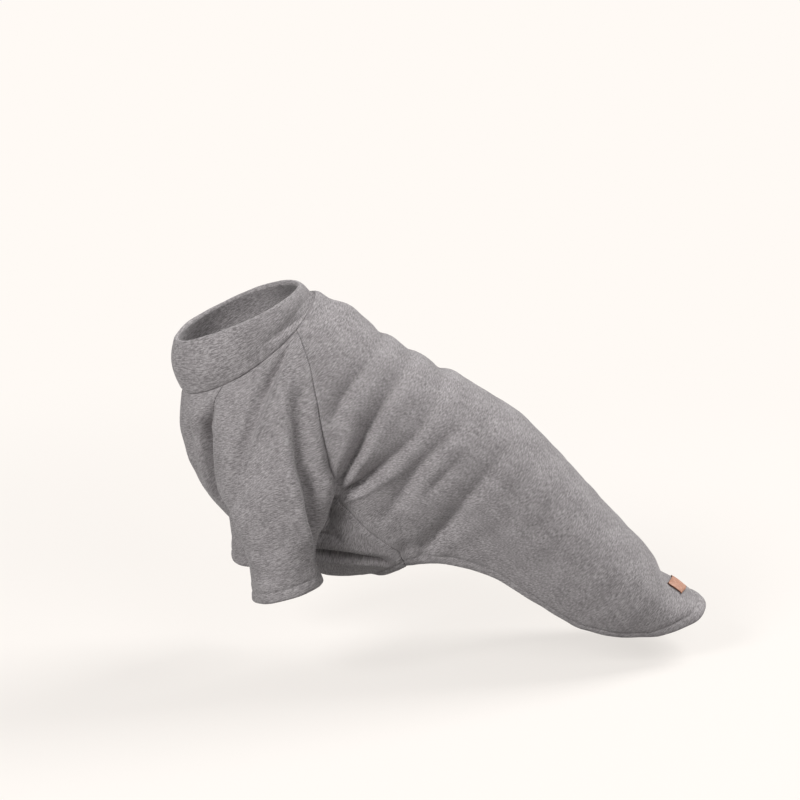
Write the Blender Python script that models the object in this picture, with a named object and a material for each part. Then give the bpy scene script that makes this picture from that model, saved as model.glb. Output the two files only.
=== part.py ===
# A small dog's sweatshirt, hollow, in the pose in which a sitting dog wears it.
# +X runs to the tail, -X to the head, +Z up; the wearer's left side is at -Y.
# The origin is the neck seam at the centre back. Metres.

import math

import bmesh
import bpy
import numpy as np

CLOTH = 0.0018              # brushed fleece, one layer
HEM = 0.0090                # depth of the turned-in hems
HEM_STEP = 0.0016           # the layers' edge, where one layer becomes two
SEAM_GAP = 0.0003           # between two sewn pieces
COLLAR_CLOTH = 0.0038       # the collar's two layers, folded at its top edge
LABEL_LENGTH = 0.0125       # along the back
LABEL_WIDTH = 0.0240        # across it
LABEL_THICKNESS = 0.0012
LABEL_FROM_HEM = 0.0250     # from the tail hem's edge to the label's middle
LABEL_LEFT = 0.0095         # its middle stands this far to the wearer's left of the centre back
LABEL_LEAN = math.radians(14)       # its left end is turned towards the head
LABEL_GAP = 0.0005          # between the label and the cloth it is sewn to
LABEL_ROWS, LABEL_COLUMNS = 4, 9

# Sections of the body's tube: its highest and lowest point on the centre plane, its half
# width, and how much of that width sits above (+) or below (-) the middle.
BODY_COLUMNS = ("top_x", "top_z", "low_x", "low_z", "half_width", "fullness")
BODY = (
    (0.000, 0.000, -0.092, -0.064, 0.039, 0.00),     # neck seam
    (0.022, -0.006, -0.094, -0.090, 0.047, 0.06),    # withers
    (0.044, -0.022, -0.087, -0.119, 0.052, 0.20),    # shoulder
    (0.066, -0.038, -0.068, -0.150, 0.055, 0.32),    # breast
    (0.092, -0.054, -0.034, -0.181, 0.057, 0.36),    # elbow
    (0.122, -0.072, 0.006, -0.202, 0.059, 0.28),     # ribs
    (0.156, -0.097, 0.062, -0.207, 0.058, 0.16),     # belly hem
    (0.190, -0.135, 0.110, -0.234, 0.060, 0.08),     # loin
    (0.219, -0.168, 0.152, -0.257, 0.060, 0.08),     # rump
    (0.243, -0.195, 0.192, -0.269, 0.055, 0.10),     # seat
    (0.257, -0.215, 0.224, -0.275, 0.047, 0.10),     # tail
    (0.285, -0.234, 0.262, -0.286, 0.036, 0.10),     # tail hem
)

# Seams and hems on that tube: the section's number, and the turn from the centre back (0)
# round to the centre of the belly (1).
NECK_DIP = 0.32             # the neck seam stands this much of a section lower at its sides
NECK_REAR = 0.298           # turn at which a sleeve's rear seam leaves the neck seam
NECK_FRONT = 0.660          # and its front seam
UNDERARM = (3.84, 0.589)
SIDE_END = (5.75, 0.764)
REAR_SEAM = ((0.66, 0.331), (1.24, 0.366), (2.09, 0.423), (2.83, 0.476), (3.39, 0.527),
             (3.72, 0.566), UNDERARM)
FRONT_SEAM = ((0.64, 0.720), (1.24, 0.767), (1.85, 0.803), (2.50, 0.830), (2.95, 0.808),
              (3.35, 0.745), (3.64, 0.665), UNDERARM)
SIDE_SEAM = (UNDERARM, (4.08, 0.600), (4.55, 0.614), (5.04, 0.641), (5.32, 0.666), (5.50, 0.697),
             SIDE_END)
BACK_HEM = (SIDE_END, (5.84, 0.741), (5.96, 0.715), (6.16, 0.687), (6.46, 0.652), (6.80, 0.631),
            (7.48, 0.622), (8.29, 0.626), (9.10, 0.597), (9.88, 0.536), (10.27, 0.461),
            (10.62, 0.346), (10.81, 0.258), (10.95, 0.118), (11.0, 0.0))
BELLY_HEM = (SIDE_END, (5.73, 0.820), (5.70, 0.880), (5.69, 0.940), (5.69, 1.0))

# Folds of the body, the same on both sides: from one section and turn to another, the
# trough's depth (a ridge's is negative) and its half width.
FOLD_COLUMNS = ("start_section", "start_turn", "end_section", "end_turn", "depth", "half_width")
FOLDS = (
    (3.75, 0.600, 2.72, -0.100, 0.0034, 0.0110),     # from the underarm over the shoulder blade
    (3.88, 0.620, 4.12, 0.150, 0.0030, 0.0110),      # from the underarm up the ribs
    (4.66, 0.560, 4.60, 0.150, 0.0022, 0.0120),      # across the ribs
    (5.62, 0.690, 5.45, 0.210, 0.0026, 0.0120),      # from the side seam's end
    (2.60, 0.450, 2.05, 0.100, 0.0020, 0.0100),      # beside the rear seam
    (3.30, 0.800, 4.40, 0.600, 0.0120, 0.0120),      # the armpit's hollow
    (0.15, -0.300, 0.15, 0.300, -0.0045, 0.0100),    # the cloth stands up behind the collar
)
SECTION_LENGTH = 0.034      # one section, and one half turn, measured on the cloth
HALF_GIRTH = 0.185

# A sleeve's loops, from the neck seam (0) past the underarm (1) to the cuff (2): the centre,
# its distance out from the centre plane, half of the loop's length from front to rear with
# its rise, and half of its width with its droop.
LOOP_COLUMNS = ("place", "x", "out", "z", "half_length", "rise", "half_width", "droop")
SLEEVE = (
    (0.00, -0.0460, 0.0000, -0.0320, 0.0460, 0.0320, 0.0390, 0.0000),
    (0.25, -0.0360, 0.0120, -0.0620, 0.0445, 0.0325, 0.0460, 0.0000),
    (0.50, -0.0310, 0.0330, -0.0985, 0.0393, 0.0330, 0.0350, -0.0060),
    (0.75, -0.0280, 0.0495, -0.1240, 0.0370, 0.0190, 0.0245, -0.0140),
    (1.00, -0.0252, 0.0555, -0.1450, 0.0328, 0.0145, 0.0205, -0.0110),
    (1.33, -0.0258, 0.0525, -0.1645, 0.0275, 0.0115, 0.0235, -0.0060),
    (1.67, -0.0262, 0.0505, -0.1820, 0.0238, 0.0085, 0.0242, -0.0030),
    (2.00, -0.0235, 0.0500, -0.1983, 0.0253, 0.0069, 0.0250, -0.0030),
)
CUFF_PLACE = 2.0
RIGHT_STEP = 0.005          # the right foreleg's sleeve hangs this much further forward

# The long fold down a sleeve's outer side: its turn round the loops (0 rear, a quarter
# outermost) and its depth.
SLEEVE_FOLD_COLUMNS = ("place", "turn", "depth")
SLEEVE_FOLD = (
    (0.20, 0.200, 0.0000),
    (0.50, 0.216, 0.0020),
    (1.00, 0.206, 0.0045),
    (1.35, 0.158, 0.0045),
    (1.75, 0.105, 0.0020),
    (2.00, 0.090, 0.0000),
)
SLEEVE_FOLD_HALF_WIDTH = 0.0090

# How far the sleeve's loops give way to the pieces sewn to it.
NECK_BLEND = 0.4            # places below the neck seam
UNDERARM_BLEND = 0.5        # places below the underarm
SEAM_BLEND = 3.0            # power of the share of the way to a seam

# The collar's top edge, as an ellipse on the same turns as the neck seam.
RIM_CENTRE = (-0.0530, -0.0088)
RIM_HALF_LENGTH = (0.0450, 0.0188)
RIM_HALF_WIDTH = 0.0400
COLLAR_BULGE = 0.0050       # how far it stands out between its edges, at the throat
COLLAR_HEIGHTS = (0.0, 0.22, 0.45, 0.68, 0.86, 1.0)     # its rows, from the neck seam up
COLLAR_FOLD_STEPS = 4       # facets over its top edge

TURN_STEP = 0.02            # steps that directions on the surfaces are measured over
MOST_LEAN = 0.7             # least cosine between a wall's edge and the cloth beside it
STRAIGHT = 0.97             # cosine past which a seam runs straight on
FINE_STEPS = 240            # steps that lengths on the cloth are measured over

BACK_COLUMNS = 36           # facets across each piece
CHEST_COLUMNS = 14
SLEEVE_COLUMNS = 18
RAGLAN_ROWS = 14
SIDE_ROWS = 8               # the last two are the hem's
LOWER_SLEEVE_ROWS = 9       # the last two are the hem's

GREY_MELANGE = (0.270, 0.256, 0.256, 1.0)
LEATHER = (0.370, 0.160, 0.090, 1.0)
CLOTH_ROUGHNESS = 0.95
LEATHER_ROUGHNESS = 0.50
SHARP_ANGLE = math.radians(50)


def smooth(table, place):
    """Reads a table of rows at fractional row numbers, along a smooth curve through them."""
    rows = np.asarray(table, float)
    padded = np.vstack([2 * rows[0] - rows[1], rows, 2 * rows[-1] - rows[-2]])
    place = np.clip(np.asarray(place, float), 0.0, len(rows) - 1.0)
    row = np.minimum(place.astype(int), len(rows) - 2)
    part = (place - row)[..., None]
    before, start, end, after = (padded[row + step] for step in range(4))
    return start + 0.5 * part * (end - before + part * (2 * before - 5 * start + 4 * end - after
                                 + part * (3 * (start - end) + after - before)))


def unit(vectors):
    return vectors / np.maximum(np.linalg.norm(vectors, axis=-1, keepdims=True), 1e-12)


def tube_point(section, turn):
    """A point of the body's tube. A turn from 0 to 1 is on the left, 0 to -1 or 1 to 2 on the right."""
    row = dict(zip(BODY_COLUMNS, np.moveaxis(smooth(BODY, section), -1, 0)))
    angle = np.pi * np.asarray(turn, float)
    lift = np.cos(angle)
    x = (row["top_x"] + row["low_x"] + (row["top_x"] - row["low_x"]) * lift) / 2
    z = (row["top_z"] + row["low_z"] + (row["top_z"] - row["low_z"]) * lift) / 2
    y = -row["half_width"] * np.sin(angle) * (1 + row["fullness"] * lift)
    return np.stack([x, y, z], -1)


def outward(surface, section, turn):
    """The outward direction of a surface of sections and turns."""
    along = surface(section + TURN_STEP, turn) - surface(section - TURN_STEP, turn)
    round_it = surface(section, turn + TURN_STEP) - surface(section, turn - TURN_STEP)
    return unit(np.cross(round_it, along))


def body_point(section, turn):
    """The tube with its folds."""
    section, turn = np.broadcast_arrays(np.asarray(section, float), np.asarray(turn, float))
    height = fold_height(section, turn)
    return tube_point(section, turn) + height[..., None] * outward(tube_point, section, turn)


def fold_height(section, turn):
    """How far the folds move the cloth, out (+) or in (-), the same on both sides."""
    height = np.zeros_like(section)
    side_turn = 1 - np.abs(1 - np.abs(turn))
    for row in FOLDS:
        fold = dict(zip(FOLD_COLUMNS, row))
        run = np.array([(fold["end_section"] - fold["start_section"]) * SECTION_LENGTH,
                        (fold["end_turn"] - fold["start_turn"]) * HALF_GIRTH])
        off_section = (section - fold["start_section"]) * SECTION_LENGTH
        off_turn = (side_turn - fold["start_turn"]) * HALF_GIRTH
        along = np.clip((off_section * run[0] + off_turn * run[1]) / (run @ run), 0, 1)
        across = (off_turn * run[0] - off_section * run[1]) / math.hypot(*run)
        taper = 4 * along * (1 - along)
        height -= fold["depth"] * taper * np.exp(-(across / fold["half_width"]) ** 2)
    return height


def path_places(path, fractions, closing=()):
    """Places along a path of sections and turns: at fractions of its length up to the first
    closing distance from its end, and then at those distances from its end."""
    fine = smooth(path, np.linspace(0, len(path) - 1, FINE_STEPS + 1))
    points = body_point(fine[:, 0], fine[:, 1])
    length = np.concatenate([[0], np.cumsum(np.linalg.norm(np.diff(points, axis=0), axis=1))])
    reach = length[-1] - (closing[0] if closing else 0)
    wanted = list(np.asarray(fractions) * reach) + [length[-1] - back for back in closing[1:]]
    return np.stack([np.interp(wanted, length, fine[:, axis]) for axis in (0, 1)], -1)


def panel_places(neck, edge, hem):
    """Sections and turns of a panel: rows from its neck edge to its hem, and columns from its
    left edge to its right. Its last rows keep their distance to the hem."""
    rows, columns = len(edge) - 1, len(hem) - 1
    centre = neck[columns // 2, 1]
    mirrored = np.stack([edge[:, 0], 2 * centre - edge[:, 1]], -1)
    across = np.linspace(0, 1, columns + 1)[None, :, None]

    def place(down, left, right):
        """Blends the four edges; down has a value for each row and column."""
        top = neck[None] * (1 - down)
        bottom = hem[None] * down
        corners = (1 - down) * ((1 - across) * neck[0] + across * neck[-1])
        corners = corners + down * ((1 - across) * hem[0] + across * hem[-1])
        return top + bottom + (1 - across) * left + across * right - corners

    fine_down = np.linspace(0, 1, FINE_STEPS + 1)
    row_down = np.arange(rows + 1) / rows

    def edge_at(down, side):
        return np.stack([np.interp(down, row_down, side[:, axis]) for axis in (0, 1)], -1)

    fine = place(fine_down[:, None, None], edge_at(fine_down, edge)[:, None],
                 edge_at(fine_down, mirrored)[:, None])
    points = body_point(fine[..., 0], fine[..., 1])
    steps = np.linalg.norm(np.diff(points, axis=0), axis=-1)
    to_hem = np.concatenate([np.cumsum(steps[::-1], axis=0)[::-1], np.zeros((1, columns + 1))])
    down = np.repeat(row_down[:, None], columns + 1, axis=1)
    for column in range(1, columns):
        distance, fine_rows = to_hem[::-1, column], fine_down[::-1]
        inner = np.interp(HEM + HEM_STEP, distance, fine_rows)
        down[:rows - 1, column] *= inner / row_down[rows - 2]
        down[rows - 1, column] = np.interp(HEM, distance, fine_rows)
    return place(down[..., None], edge_at(down, edge), edge_at(down, mirrored))


def sleeve_loop(place, angle):
    """A point of the left sleeve's loops; angle 0 is at the rear, a quarter turn is outermost."""
    row = dict(zip(LOOP_COLUMNS, np.moveaxis(smooth_by_place(SLEEVE, place), -1, 0)))
    rear, out = np.cos(angle), np.sin(angle)
    x = row["x"] + row["half_length"] * rear
    y = -row["out"] - row["half_width"] * out
    z = row["z"] + row["rise"] * rear - row["droop"] * out
    return np.stack([x, y, z], -1)


def smooth_by_place(table, place):
    """Reads a table whose first column says where each row stands."""
    stands = [row[0] for row in table]
    return smooth(table, np.interp(place, stands, range(len(table))))


def grid_normals(points, closed=False):
    """The outward directions of a grid of points."""
    if closed:
        around = np.concatenate([points[:, -2:-1], points, points[:, 1:2]], axis=1)
        across = around[:, 2:] - around[:, :-2]
    else:
        across = np.gradient(points, axis=1)
    return unit(np.cross(across, np.gradient(points, axis=0)))


def inset(points, normals, border, sewn):
    """Moves a grid's sewn border in by half of the seam gap, square to the border.

    border lists the grid places round the edge, and sewn says which steps between them are sewn.
    """
    ring = np.array([points[place] for place in border])
    facing = np.array([normals[place] for place in border])
    count = len(border)
    middle = unit(facing + np.roll(facing, -1, axis=0))
    inside = unit(np.cross(middle, np.roll(ring, -1, axis=0) - ring))
    centre = points.reshape(-1, 3).mean(axis=0)
    if np.sum(inside * (centre - ring)) < 0:
        inside = -inside
    moved = points.copy()
    for index in range(count):
        before, after = inside[index - 1], inside[index]
        pull_before = SEAM_GAP / 2 * sewn[index - 1]
        pull_after = SEAM_GAP / 2 * sewn[index]
        share = float(before @ after)
        if share > STRAIGHT:
            shift = unit(before + after) * (pull_before + pull_after) / 2
        else:
            rest = 1 - share * share
            shift = before * (pull_before - pull_after * share) / rest
            shift = shift + after * (pull_after - pull_before * share) / rest
        moved[border[index]] = ring[index] + shift
    return moved


def panel_border(rows, columns):
    """The grid places round a panel, and which steps are sewn: all but those along the hem."""
    border = [(0, column) for column in range(columns)]
    border += [(row, columns) for row in range(rows)]
    border += [(rows, column) for column in range(columns, 0, -1)]
    border += [(row, 0) for row in range(rows, 0, -1)]
    sewn = [1] * (columns + rows) + [0] * columns + [1] * rows
    return border, sewn


def sleeve_border(raglan_rows, columns):
    """The same for a sleeve: its neck edge, its front seam, and back up its rear seam."""
    border = [(0, column) for column in range(columns)]
    border += [(row, columns) for row in range(raglan_rows)]
    border += [(row, 0) for row in range(raglan_rows, 0, -1)]
    return border, [1] * len(border)


def cloth_solid(name, outer, inner, colour=GREY_MELANGE, roughness=CLOTH_ROUGHNESS,
                tube_from=None):
    """A closed solid between two grids of points. Its columns meet from row tube_from down."""
    rows, columns = outer.shape[0] - 1, outer.shape[1] - 1
    mesh = bmesh.new()
    bmesh.ops.create_grid(mesh, x_segments=columns, y_segments=rows, size=0.5)
    place = mesh.verts.layers.int.new("place")
    grid = {}
    for vert in mesh.verts:
        column = round((vert.co.x + 0.5) * columns)
        row = round((vert.co.y + 0.5) * rows)
        vert[place] = row * (columns + 1) + column
        grid[row, column] = vert
    for (row, column), vert in grid.items():
        vert.co = outer[row, column]
    if tube_from is not None:
        pairs = {grid[row, columns]: grid[row, 0] for row in range(tube_from, rows + 1)}
        bmesh.ops.weld_verts(mesh, targetmap=pairs)
    layer = bmesh.ops.extrude_face_region(mesh, geom=mesh.faces[:])
    flat = inner.reshape(-1, 3)
    for vert in (item for item in layer["geom"] if isinstance(item, bmesh.types.BMVert)):
        vert.co = flat[vert[place]]
    bmesh.ops.triangulate(mesh, faces=mesh.faces[:], quad_method='SHORT_EDGE')
    bmesh.ops.recalc_face_normals(mesh, faces=mesh.faces[:])
    add_object(name, mesh, colour, roughness)


def add_object(name, mesh, colour, roughness):
    data = bpy.data.meshes.new(name)
    mesh.to_mesh(data)
    mesh.free()
    data.shade_smooth()
    data.set_sharp_from_angle(angle=SHARP_ANGLE)
    material = bpy.data.materials.new(name + "_material")
    material.use_nodes = True
    shader = material.node_tree.nodes["Principled BSDF"]
    shader.inputs["Base Color"].default_value = colour
    shader.inputs["Roughness"].default_value = roughness
    shader.inputs["Metallic"].default_value = 0.0
    data.materials.append(material)
    piece = bpy.data.objects.new(name, data)
    bpy.context.scene.collection.objects.link(piece)


def wall_depth(rows, columns):
    """One layer of cloth, and two at the hem's rows."""
    depth = np.full((rows + 1, columns + 1), CLOTH)
    depth[-2:] = 2 * CLOTH
    return depth


def inner_side(outer, normals, own_normals, depth):
    """The wall's inner side. Where a wall turns at a seam it is measured square to the cloth."""
    lean = np.clip(np.sum(normals * own_normals, axis=-1), MOST_LEAN, 1.0)
    return outer - normals * (depth / lean)[..., None]


def neck_section(turn):
    """The neck seam's section: it dips at its sides."""
    return NECK_DIP * np.sin(np.pi * np.asarray(turn, float)) ** 2


def collar_point(turn, height):
    """The collar's outer face, from the neck seam (0) to its top edge (1)."""
    angle, height = np.pi * turn, np.asarray(height, float)[..., None]
    lift = np.cos(angle)
    rim = np.stack([RIM_CENTRE[0] + RIM_HALF_LENGTH[0] * lift, -RIM_HALF_WIDTH * np.sin(angle),
                    RIM_CENTRE[1] + RIM_HALF_LENGTH[1] * lift], -1)
    seam = body_point(neck_section(turn), turn)
    straight = seam * (1 - height) + rim * height
    seam_centre = (tube_point(0.0, 0.0) + tube_point(0.0, 1.0)) / 2
    rim_centre = np.array([RIM_CENTRE[0], 0.0, RIM_CENTRE[1]])
    away = unit(straight - seam_centre * (1 - height) - rim_centre * height)
    throat = ((1 - lift) / 2)[..., None]
    return straight + away * throat * COLLAR_BULGE * np.sin(np.pi * height)


def collar_normals(turn, height):
    """The collar's outward directions; turn is one full round, in order."""
    up = collar_point(turn, height + TURN_STEP) - collar_point(turn, height - TURN_STEP)
    along = collar_point(turn + TURN_STEP, height) - collar_point(turn - TURN_STEP, height)
    return unit(np.cross(up, along))


def neck_normals(turn):
    """Half way between the collar's and the body's outward directions at the neck seam."""
    low = np.full_like(turn, TURN_STEP)
    below = neck_section(turn) + 2 * TURN_STEP
    return unit(collar_normals(turn, low) + outward(body_point, below, turn))


def build_collar(turns):
    """A doubled band: up the outer face, over the fold and down the inner face."""
    half = COLLAR_CLOTH / 2
    seam_normals = neck_normals(turns)
    outer, inner = [], []
    for height in COLLAR_HEIGHTS:
        level = np.full_like(turns, height)
        face, normals = collar_point(turns, level), collar_normals(turns, level)
        if height == 0:
            normals = seam_normals
            along = np.roll(face, -1, axis=0) - np.roll(face, 1, axis=0)
            face = face + unit(np.cross(along, normals)) * SEAM_GAP / 2
        outer.append(face)
        inner.append(face - normals * COLLAR_CLOTH)
    up = unit(outer[-1] - outer[-2])
    out = collar_normals(turns, np.ones_like(turns))
    middle = outer[-1] - out * half
    fold = [middle + half * (out * math.cos(bend) + up * math.sin(bend))
            for bend in np.linspace(0, math.pi, COLLAR_FOLD_STEPS + 1)[1:-1]]
    profile = np.array(outer + fold + inner[::-1])
    profile = np.concatenate([profile, profile[:, :1]], axis=1)
    profile = np.concatenate([profile, profile[:1]], axis=0)
    ring_solid("collar", profile)


def ring_solid(name, points):
    """A closed ring of cloth, from a grid of points that is closed both ways."""
    rows, columns = points.shape[0] - 1, points.shape[1] - 1
    mesh = bmesh.new()
    bmesh.ops.create_grid(mesh, x_segments=columns, y_segments=rows, size=0.5)
    for vert in mesh.verts:
        vert.co = points[round((vert.co.y + 0.5) * rows), round((vert.co.x + 0.5) * columns)]
    bmesh.ops.remove_doubles(mesh, verts=mesh.verts[:], dist=1e-6)
    bmesh.ops.recalc_face_normals(mesh, faces=mesh.faces[:])
    add_object(name, mesh, GREY_MELANGE, CLOTH_ROUGHNESS)


def seam_angles(place, seam):
    """Where the points of a seam stand round the sleeve's loops."""
    row = dict(zip(LOOP_COLUMNS, np.moveaxis(smooth_by_place(SLEEVE, place), -1, 0)))
    rear = (seam[:, 0] - row["x"]) / row["half_length"]
    out = (-seam[:, 1] - row["out"]) / row["half_width"]
    return np.unwrap(np.arctan2(out, rear))


def sleeve_places():
    """The rows of a sleeve, evenly down to the hem's own rows."""
    upper = np.linspace(0, 1, RAGLAN_ROWS + 1)
    fine = np.linspace(1, CUFF_PLACE, FINE_STEPS + 1)
    line = sleeve_loop(fine, np.full_like(fine, np.pi / 2))
    length = np.concatenate([[0], np.cumsum(np.linalg.norm(np.diff(line, axis=0), axis=1))])
    reach = length[-1] - HEM - HEM_STEP
    wanted = list(np.linspace(0, reach, LOWER_SLEEVE_ROWS - 1)[1:]) + [length[-1] - HEM, length[-1]]
    return np.concatenate([upper, np.interp(wanted, length, fine)])


def sleeve_fold_depth(place, angle):
    """How far the long fold draws a sleeve's points in."""
    row = dict(zip(SLEEVE_FOLD_COLUMNS, np.moveaxis(smooth_by_place(SLEEVE_FOLD, place), -1, 0)))
    radius = smooth_by_place(SLEEVE, place)[..., LOOP_COLUMNS.index("half_length")]
    across = (angle - 2 * np.pi * row["turn"]) * radius
    return row["depth"] * np.exp(-(across / SLEEVE_FOLD_HALF_WIDTH) ** 2)


def sleeve_grid(rear_seam, front_seam):
    """The left sleeve's outer face, from its rear seam over the arm to its front seam."""
    place = sleeve_places()
    upper = RAGLAN_ROWS + 1
    rear_angle = seam_angles(place[:upper], rear_seam)
    front_angle = seam_angles(place[:upper], front_seam)
    front_angle += 2 * np.pi * math.ceil((rear_angle[-1] + 1.0 - front_angle[-1]) / 2 / np.pi)
    below = len(place) - upper
    rear_angle = np.append(rear_angle, np.full(below, rear_angle[-1]))
    front_angle = np.append(front_angle, np.full(below, rear_angle[-1] + 2 * np.pi))
    across = np.linspace(0, 1, SLEEVE_COLUMNS + 1)
    angle = rear_angle[:, None] * (1 - across) + front_angle[:, None] * across
    places = np.repeat(place[:, None], SLEEVE_COLUMNS + 1, axis=1)
    points = sleeve_loop(places, angle)
    away = unit(np.stack([np.cos(angle), -np.sin(angle), np.zeros_like(angle)], -1))
    points -= away * sleeve_fold_depth(places, angle)[..., None]
    fade = np.clip(1 - (place[upper:] - 1) / UNDERARM_BLEND, 0, 1) ** 2
    rear_gap = rear_seam - points[:upper, 0]
    front_gap = front_seam - points[:upper, -1]
    rear_gap = np.concatenate([rear_gap, rear_gap[-1:] * fade[:, None]])
    front_gap = np.concatenate([front_gap, front_gap[-1:] * fade[:, None]])
    points += rear_gap[:, None] * ((1 - across) ** SEAM_BLEND)[None, :, None]
    points += front_gap[:, None] * (across ** SEAM_BLEND)[None, :, None]
    turns = seam_turns()[1]
    neck_gap = body_point(neck_section(turns), turns) - points[0]
    return points + neck_gap[None] * (np.clip(1 - place / NECK_BLEND, 0, 1) ** 2)[:, None, None]


def seam_turns():
    """The turns of each piece's points along the neck seam."""
    back = np.linspace(NECK_REAR, -NECK_REAR, BACK_COLUMNS + 1)
    sleeve = np.linspace(NECK_REAR, NECK_FRONT, SLEEVE_COLUMNS + 1)
    chest = np.linspace(NECK_FRONT, 2 - NECK_FRONT, CHEST_COLUMNS + 1)
    return back, sleeve, chest


def build_panel(name, neck_turns, seam, seam_normals, flank, hem_path, far_turn):
    """The back or the chest panel. far_turn mirrors a turn: it is minus, or two minus, the turn."""
    columns = len(neck_turns) - 1
    rows = RAGLAN_ROWS + SIDE_ROWS
    neck = np.stack([neck_section(neck_turns), neck_turns], -1)
    half_hem = path_places(hem_path, np.linspace(0, 1, columns // 2 + 1))
    far_hem = np.stack([half_hem[::-1, 0], far_turn - half_hem[::-1, 1]], -1)
    edge = np.concatenate([seam, flank[1:]])
    places = panel_places(neck, edge, np.concatenate([half_hem, far_hem[1:]]))
    points = body_point(places[..., 0], places[..., 1])
    own = outward(body_point, places[..., 0], places[..., 1])
    normals = own.copy()
    normals[:RAGLAN_ROWS + 1, 0] = seam_normals
    normals[:RAGLAN_ROWS + 1, -1] = seam_normals * (1, -1, 1)
    normals[0] = neck_normals(neck_turns)
    points = inset(points, normals, *panel_border(rows, columns))
    inner = inner_side(points, normals, own, wall_depth(rows, columns))
    cloth_solid(name, points, inner)
    return points, own


def build_sleeve(name, points, seam_normals, mirror):
    """One sleeve from the left one's grid; mirror is -1 for the right."""
    own = grid_normals(points)
    own[RAGLAN_ROWS:] = grid_normals(points[RAGLAN_ROWS:], closed=True)
    normals = own.copy()
    normals[:RAGLAN_ROWS + 1, 0], normals[:RAGLAN_ROWS + 1, -1] = seam_normals
    normals[0] = neck_normals(seam_turns()[1])
    points = inset(points, normals, *sleeve_border(RAGLAN_ROWS, SLEEVE_COLUMNS))
    points[RAGLAN_ROWS, -1] = points[RAGLAN_ROWS, 0]
    inner = inner_side(points, normals, own, wall_depth(len(points) - 1, SLEEVE_COLUMNS))
    if mirror < 0:
        lower = np.clip((sleeve_places() - 1) / (CUFF_PLACE - 1), 0, 1)
        step = np.array([-RIGHT_STEP, 0, 0]) * np.sqrt(lower)[:, None, None]
        points, inner = points + step, inner + step
    side = np.array([1, mirror, 1])
    cloth_solid(name, points * side, inner * side, tube_from=RAGLAN_ROWS)


def build_label(panel, normals):
    """A leather patch on the back panel, made of the panel's own points moved out."""
    middle = BACK_COLUMNS // 2
    line = panel[:, middle]
    to_hem = np.append(np.cumsum(np.linalg.norm(np.diff(line, axis=0), axis=1)[::-1])[::-1], 0)
    numbers = np.arange(len(line))
    centre_row = round(np.interp(LABEL_FROM_HEM, to_hem[::-1], numbers[::-1]))
    wide = np.linalg.norm(panel[centre_row, middle + 1] - panel[centre_row, middle])
    back, side = np.meshgrid(np.linspace(0.5, -0.5, LABEL_ROWS) * LABEL_LENGTH,
                             np.linspace(-0.5, 0.5, LABEL_COLUMNS) * LABEL_WIDTH, indexing="ij")
    from_hem = LABEL_FROM_HEM + back * math.cos(LABEL_LEAN) - side * math.sin(LABEL_LEAN)
    from_centre = side * math.cos(LABEL_LEAN) + back * math.sin(LABEL_LEAN) - LABEL_LEFT
    rows = np.interp(from_hem, to_hem[::-1], numbers[::-1])
    columns = middle + from_centre / wide

    def between(grid, row, column):
        low_row, low_column = int(row), int(column)
        down, along = row - low_row, column - low_column
        near = grid[low_row, low_column] * (1 - along) + grid[low_row, low_column + 1] * along
        far = grid[low_row + 1, low_column] * (1 - along) + grid[low_row + 1, low_column + 1] * along
        return near * (1 - down) + far * down

    places = [list(zip(*line)) for line in zip(rows, columns)]
    face = np.array([[between(panel, *place) for place in line] for line in places])
    out = unit(np.array([[between(normals, *place) for place in line] for line in places]))
    under = face + out * LABEL_GAP
    cloth_solid("label", under + out * LABEL_THICKNESS, under, colour=LEATHER,
                roughness=LEATHER_ROUGHNESS)


def build():
    for leftover in list(bpy.data.objects):
        bpy.data.objects.remove(leftover)

    raglan = np.linspace(0, 1, RAGLAN_ROWS + 1)
    side = np.linspace(0, 1, SIDE_ROWS - 1)
    rear = path_places(((neck_section(NECK_REAR), NECK_REAR),) + REAR_SEAM, raglan)
    front = path_places(((neck_section(NECK_FRONT), NECK_FRONT),) + FRONT_SEAM, raglan)
    flank = path_places(SIDE_SEAM, side, (HEM + HEM_STEP, HEM, 0.0))
    back_turns, sleeve_turns, chest_turns = seam_turns()

    sleeve = sleeve_grid(body_point(*rear.T), body_point(*front.T))
    sleeve_normals = grid_normals(sleeve)[:RAGLAN_ROWS + 1]
    rear_normals = unit(sleeve_normals[:, 0] + outward(body_point, *rear.T))
    front_normals = unit(sleeve_normals[:, -1] + outward(body_point, *front.T))
    rear_normals[0], front_normals[0] = neck_normals(np.array([NECK_REAR, NECK_FRONT]))
    rear_normals[-1] = front_normals[-1] = unit(rear_normals[-1] + front_normals[-1])

    build_collar(np.concatenate([back_turns[::-2][:-1], sleeve_turns[::2][:-1],
                                 chest_turns[::2][:-1], 2 - sleeve_turns[::-2][:-1]]))
    back, back_normals = build_panel("back_panel", back_turns, rear, rear_normals, flank, BACK_HEM, 0)
    build_panel("chest_panel", chest_turns, front, front_normals, flank, BELLY_HEM, 2)
    for name, mirror in (("sleeve_left", 1), ("sleeve_right", -1)):
        build_sleeve(name, sleeve, (rear_normals, front_normals), mirror)
    build_label(back, back_normals)


build()
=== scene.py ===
# A small dog's raglan sweatshirt in grey melange fleece, worn and hollow.
# +X runs to the tail, -X to the head, +Z up; the wearer's left side is at -Y. Metres.

import math

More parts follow.
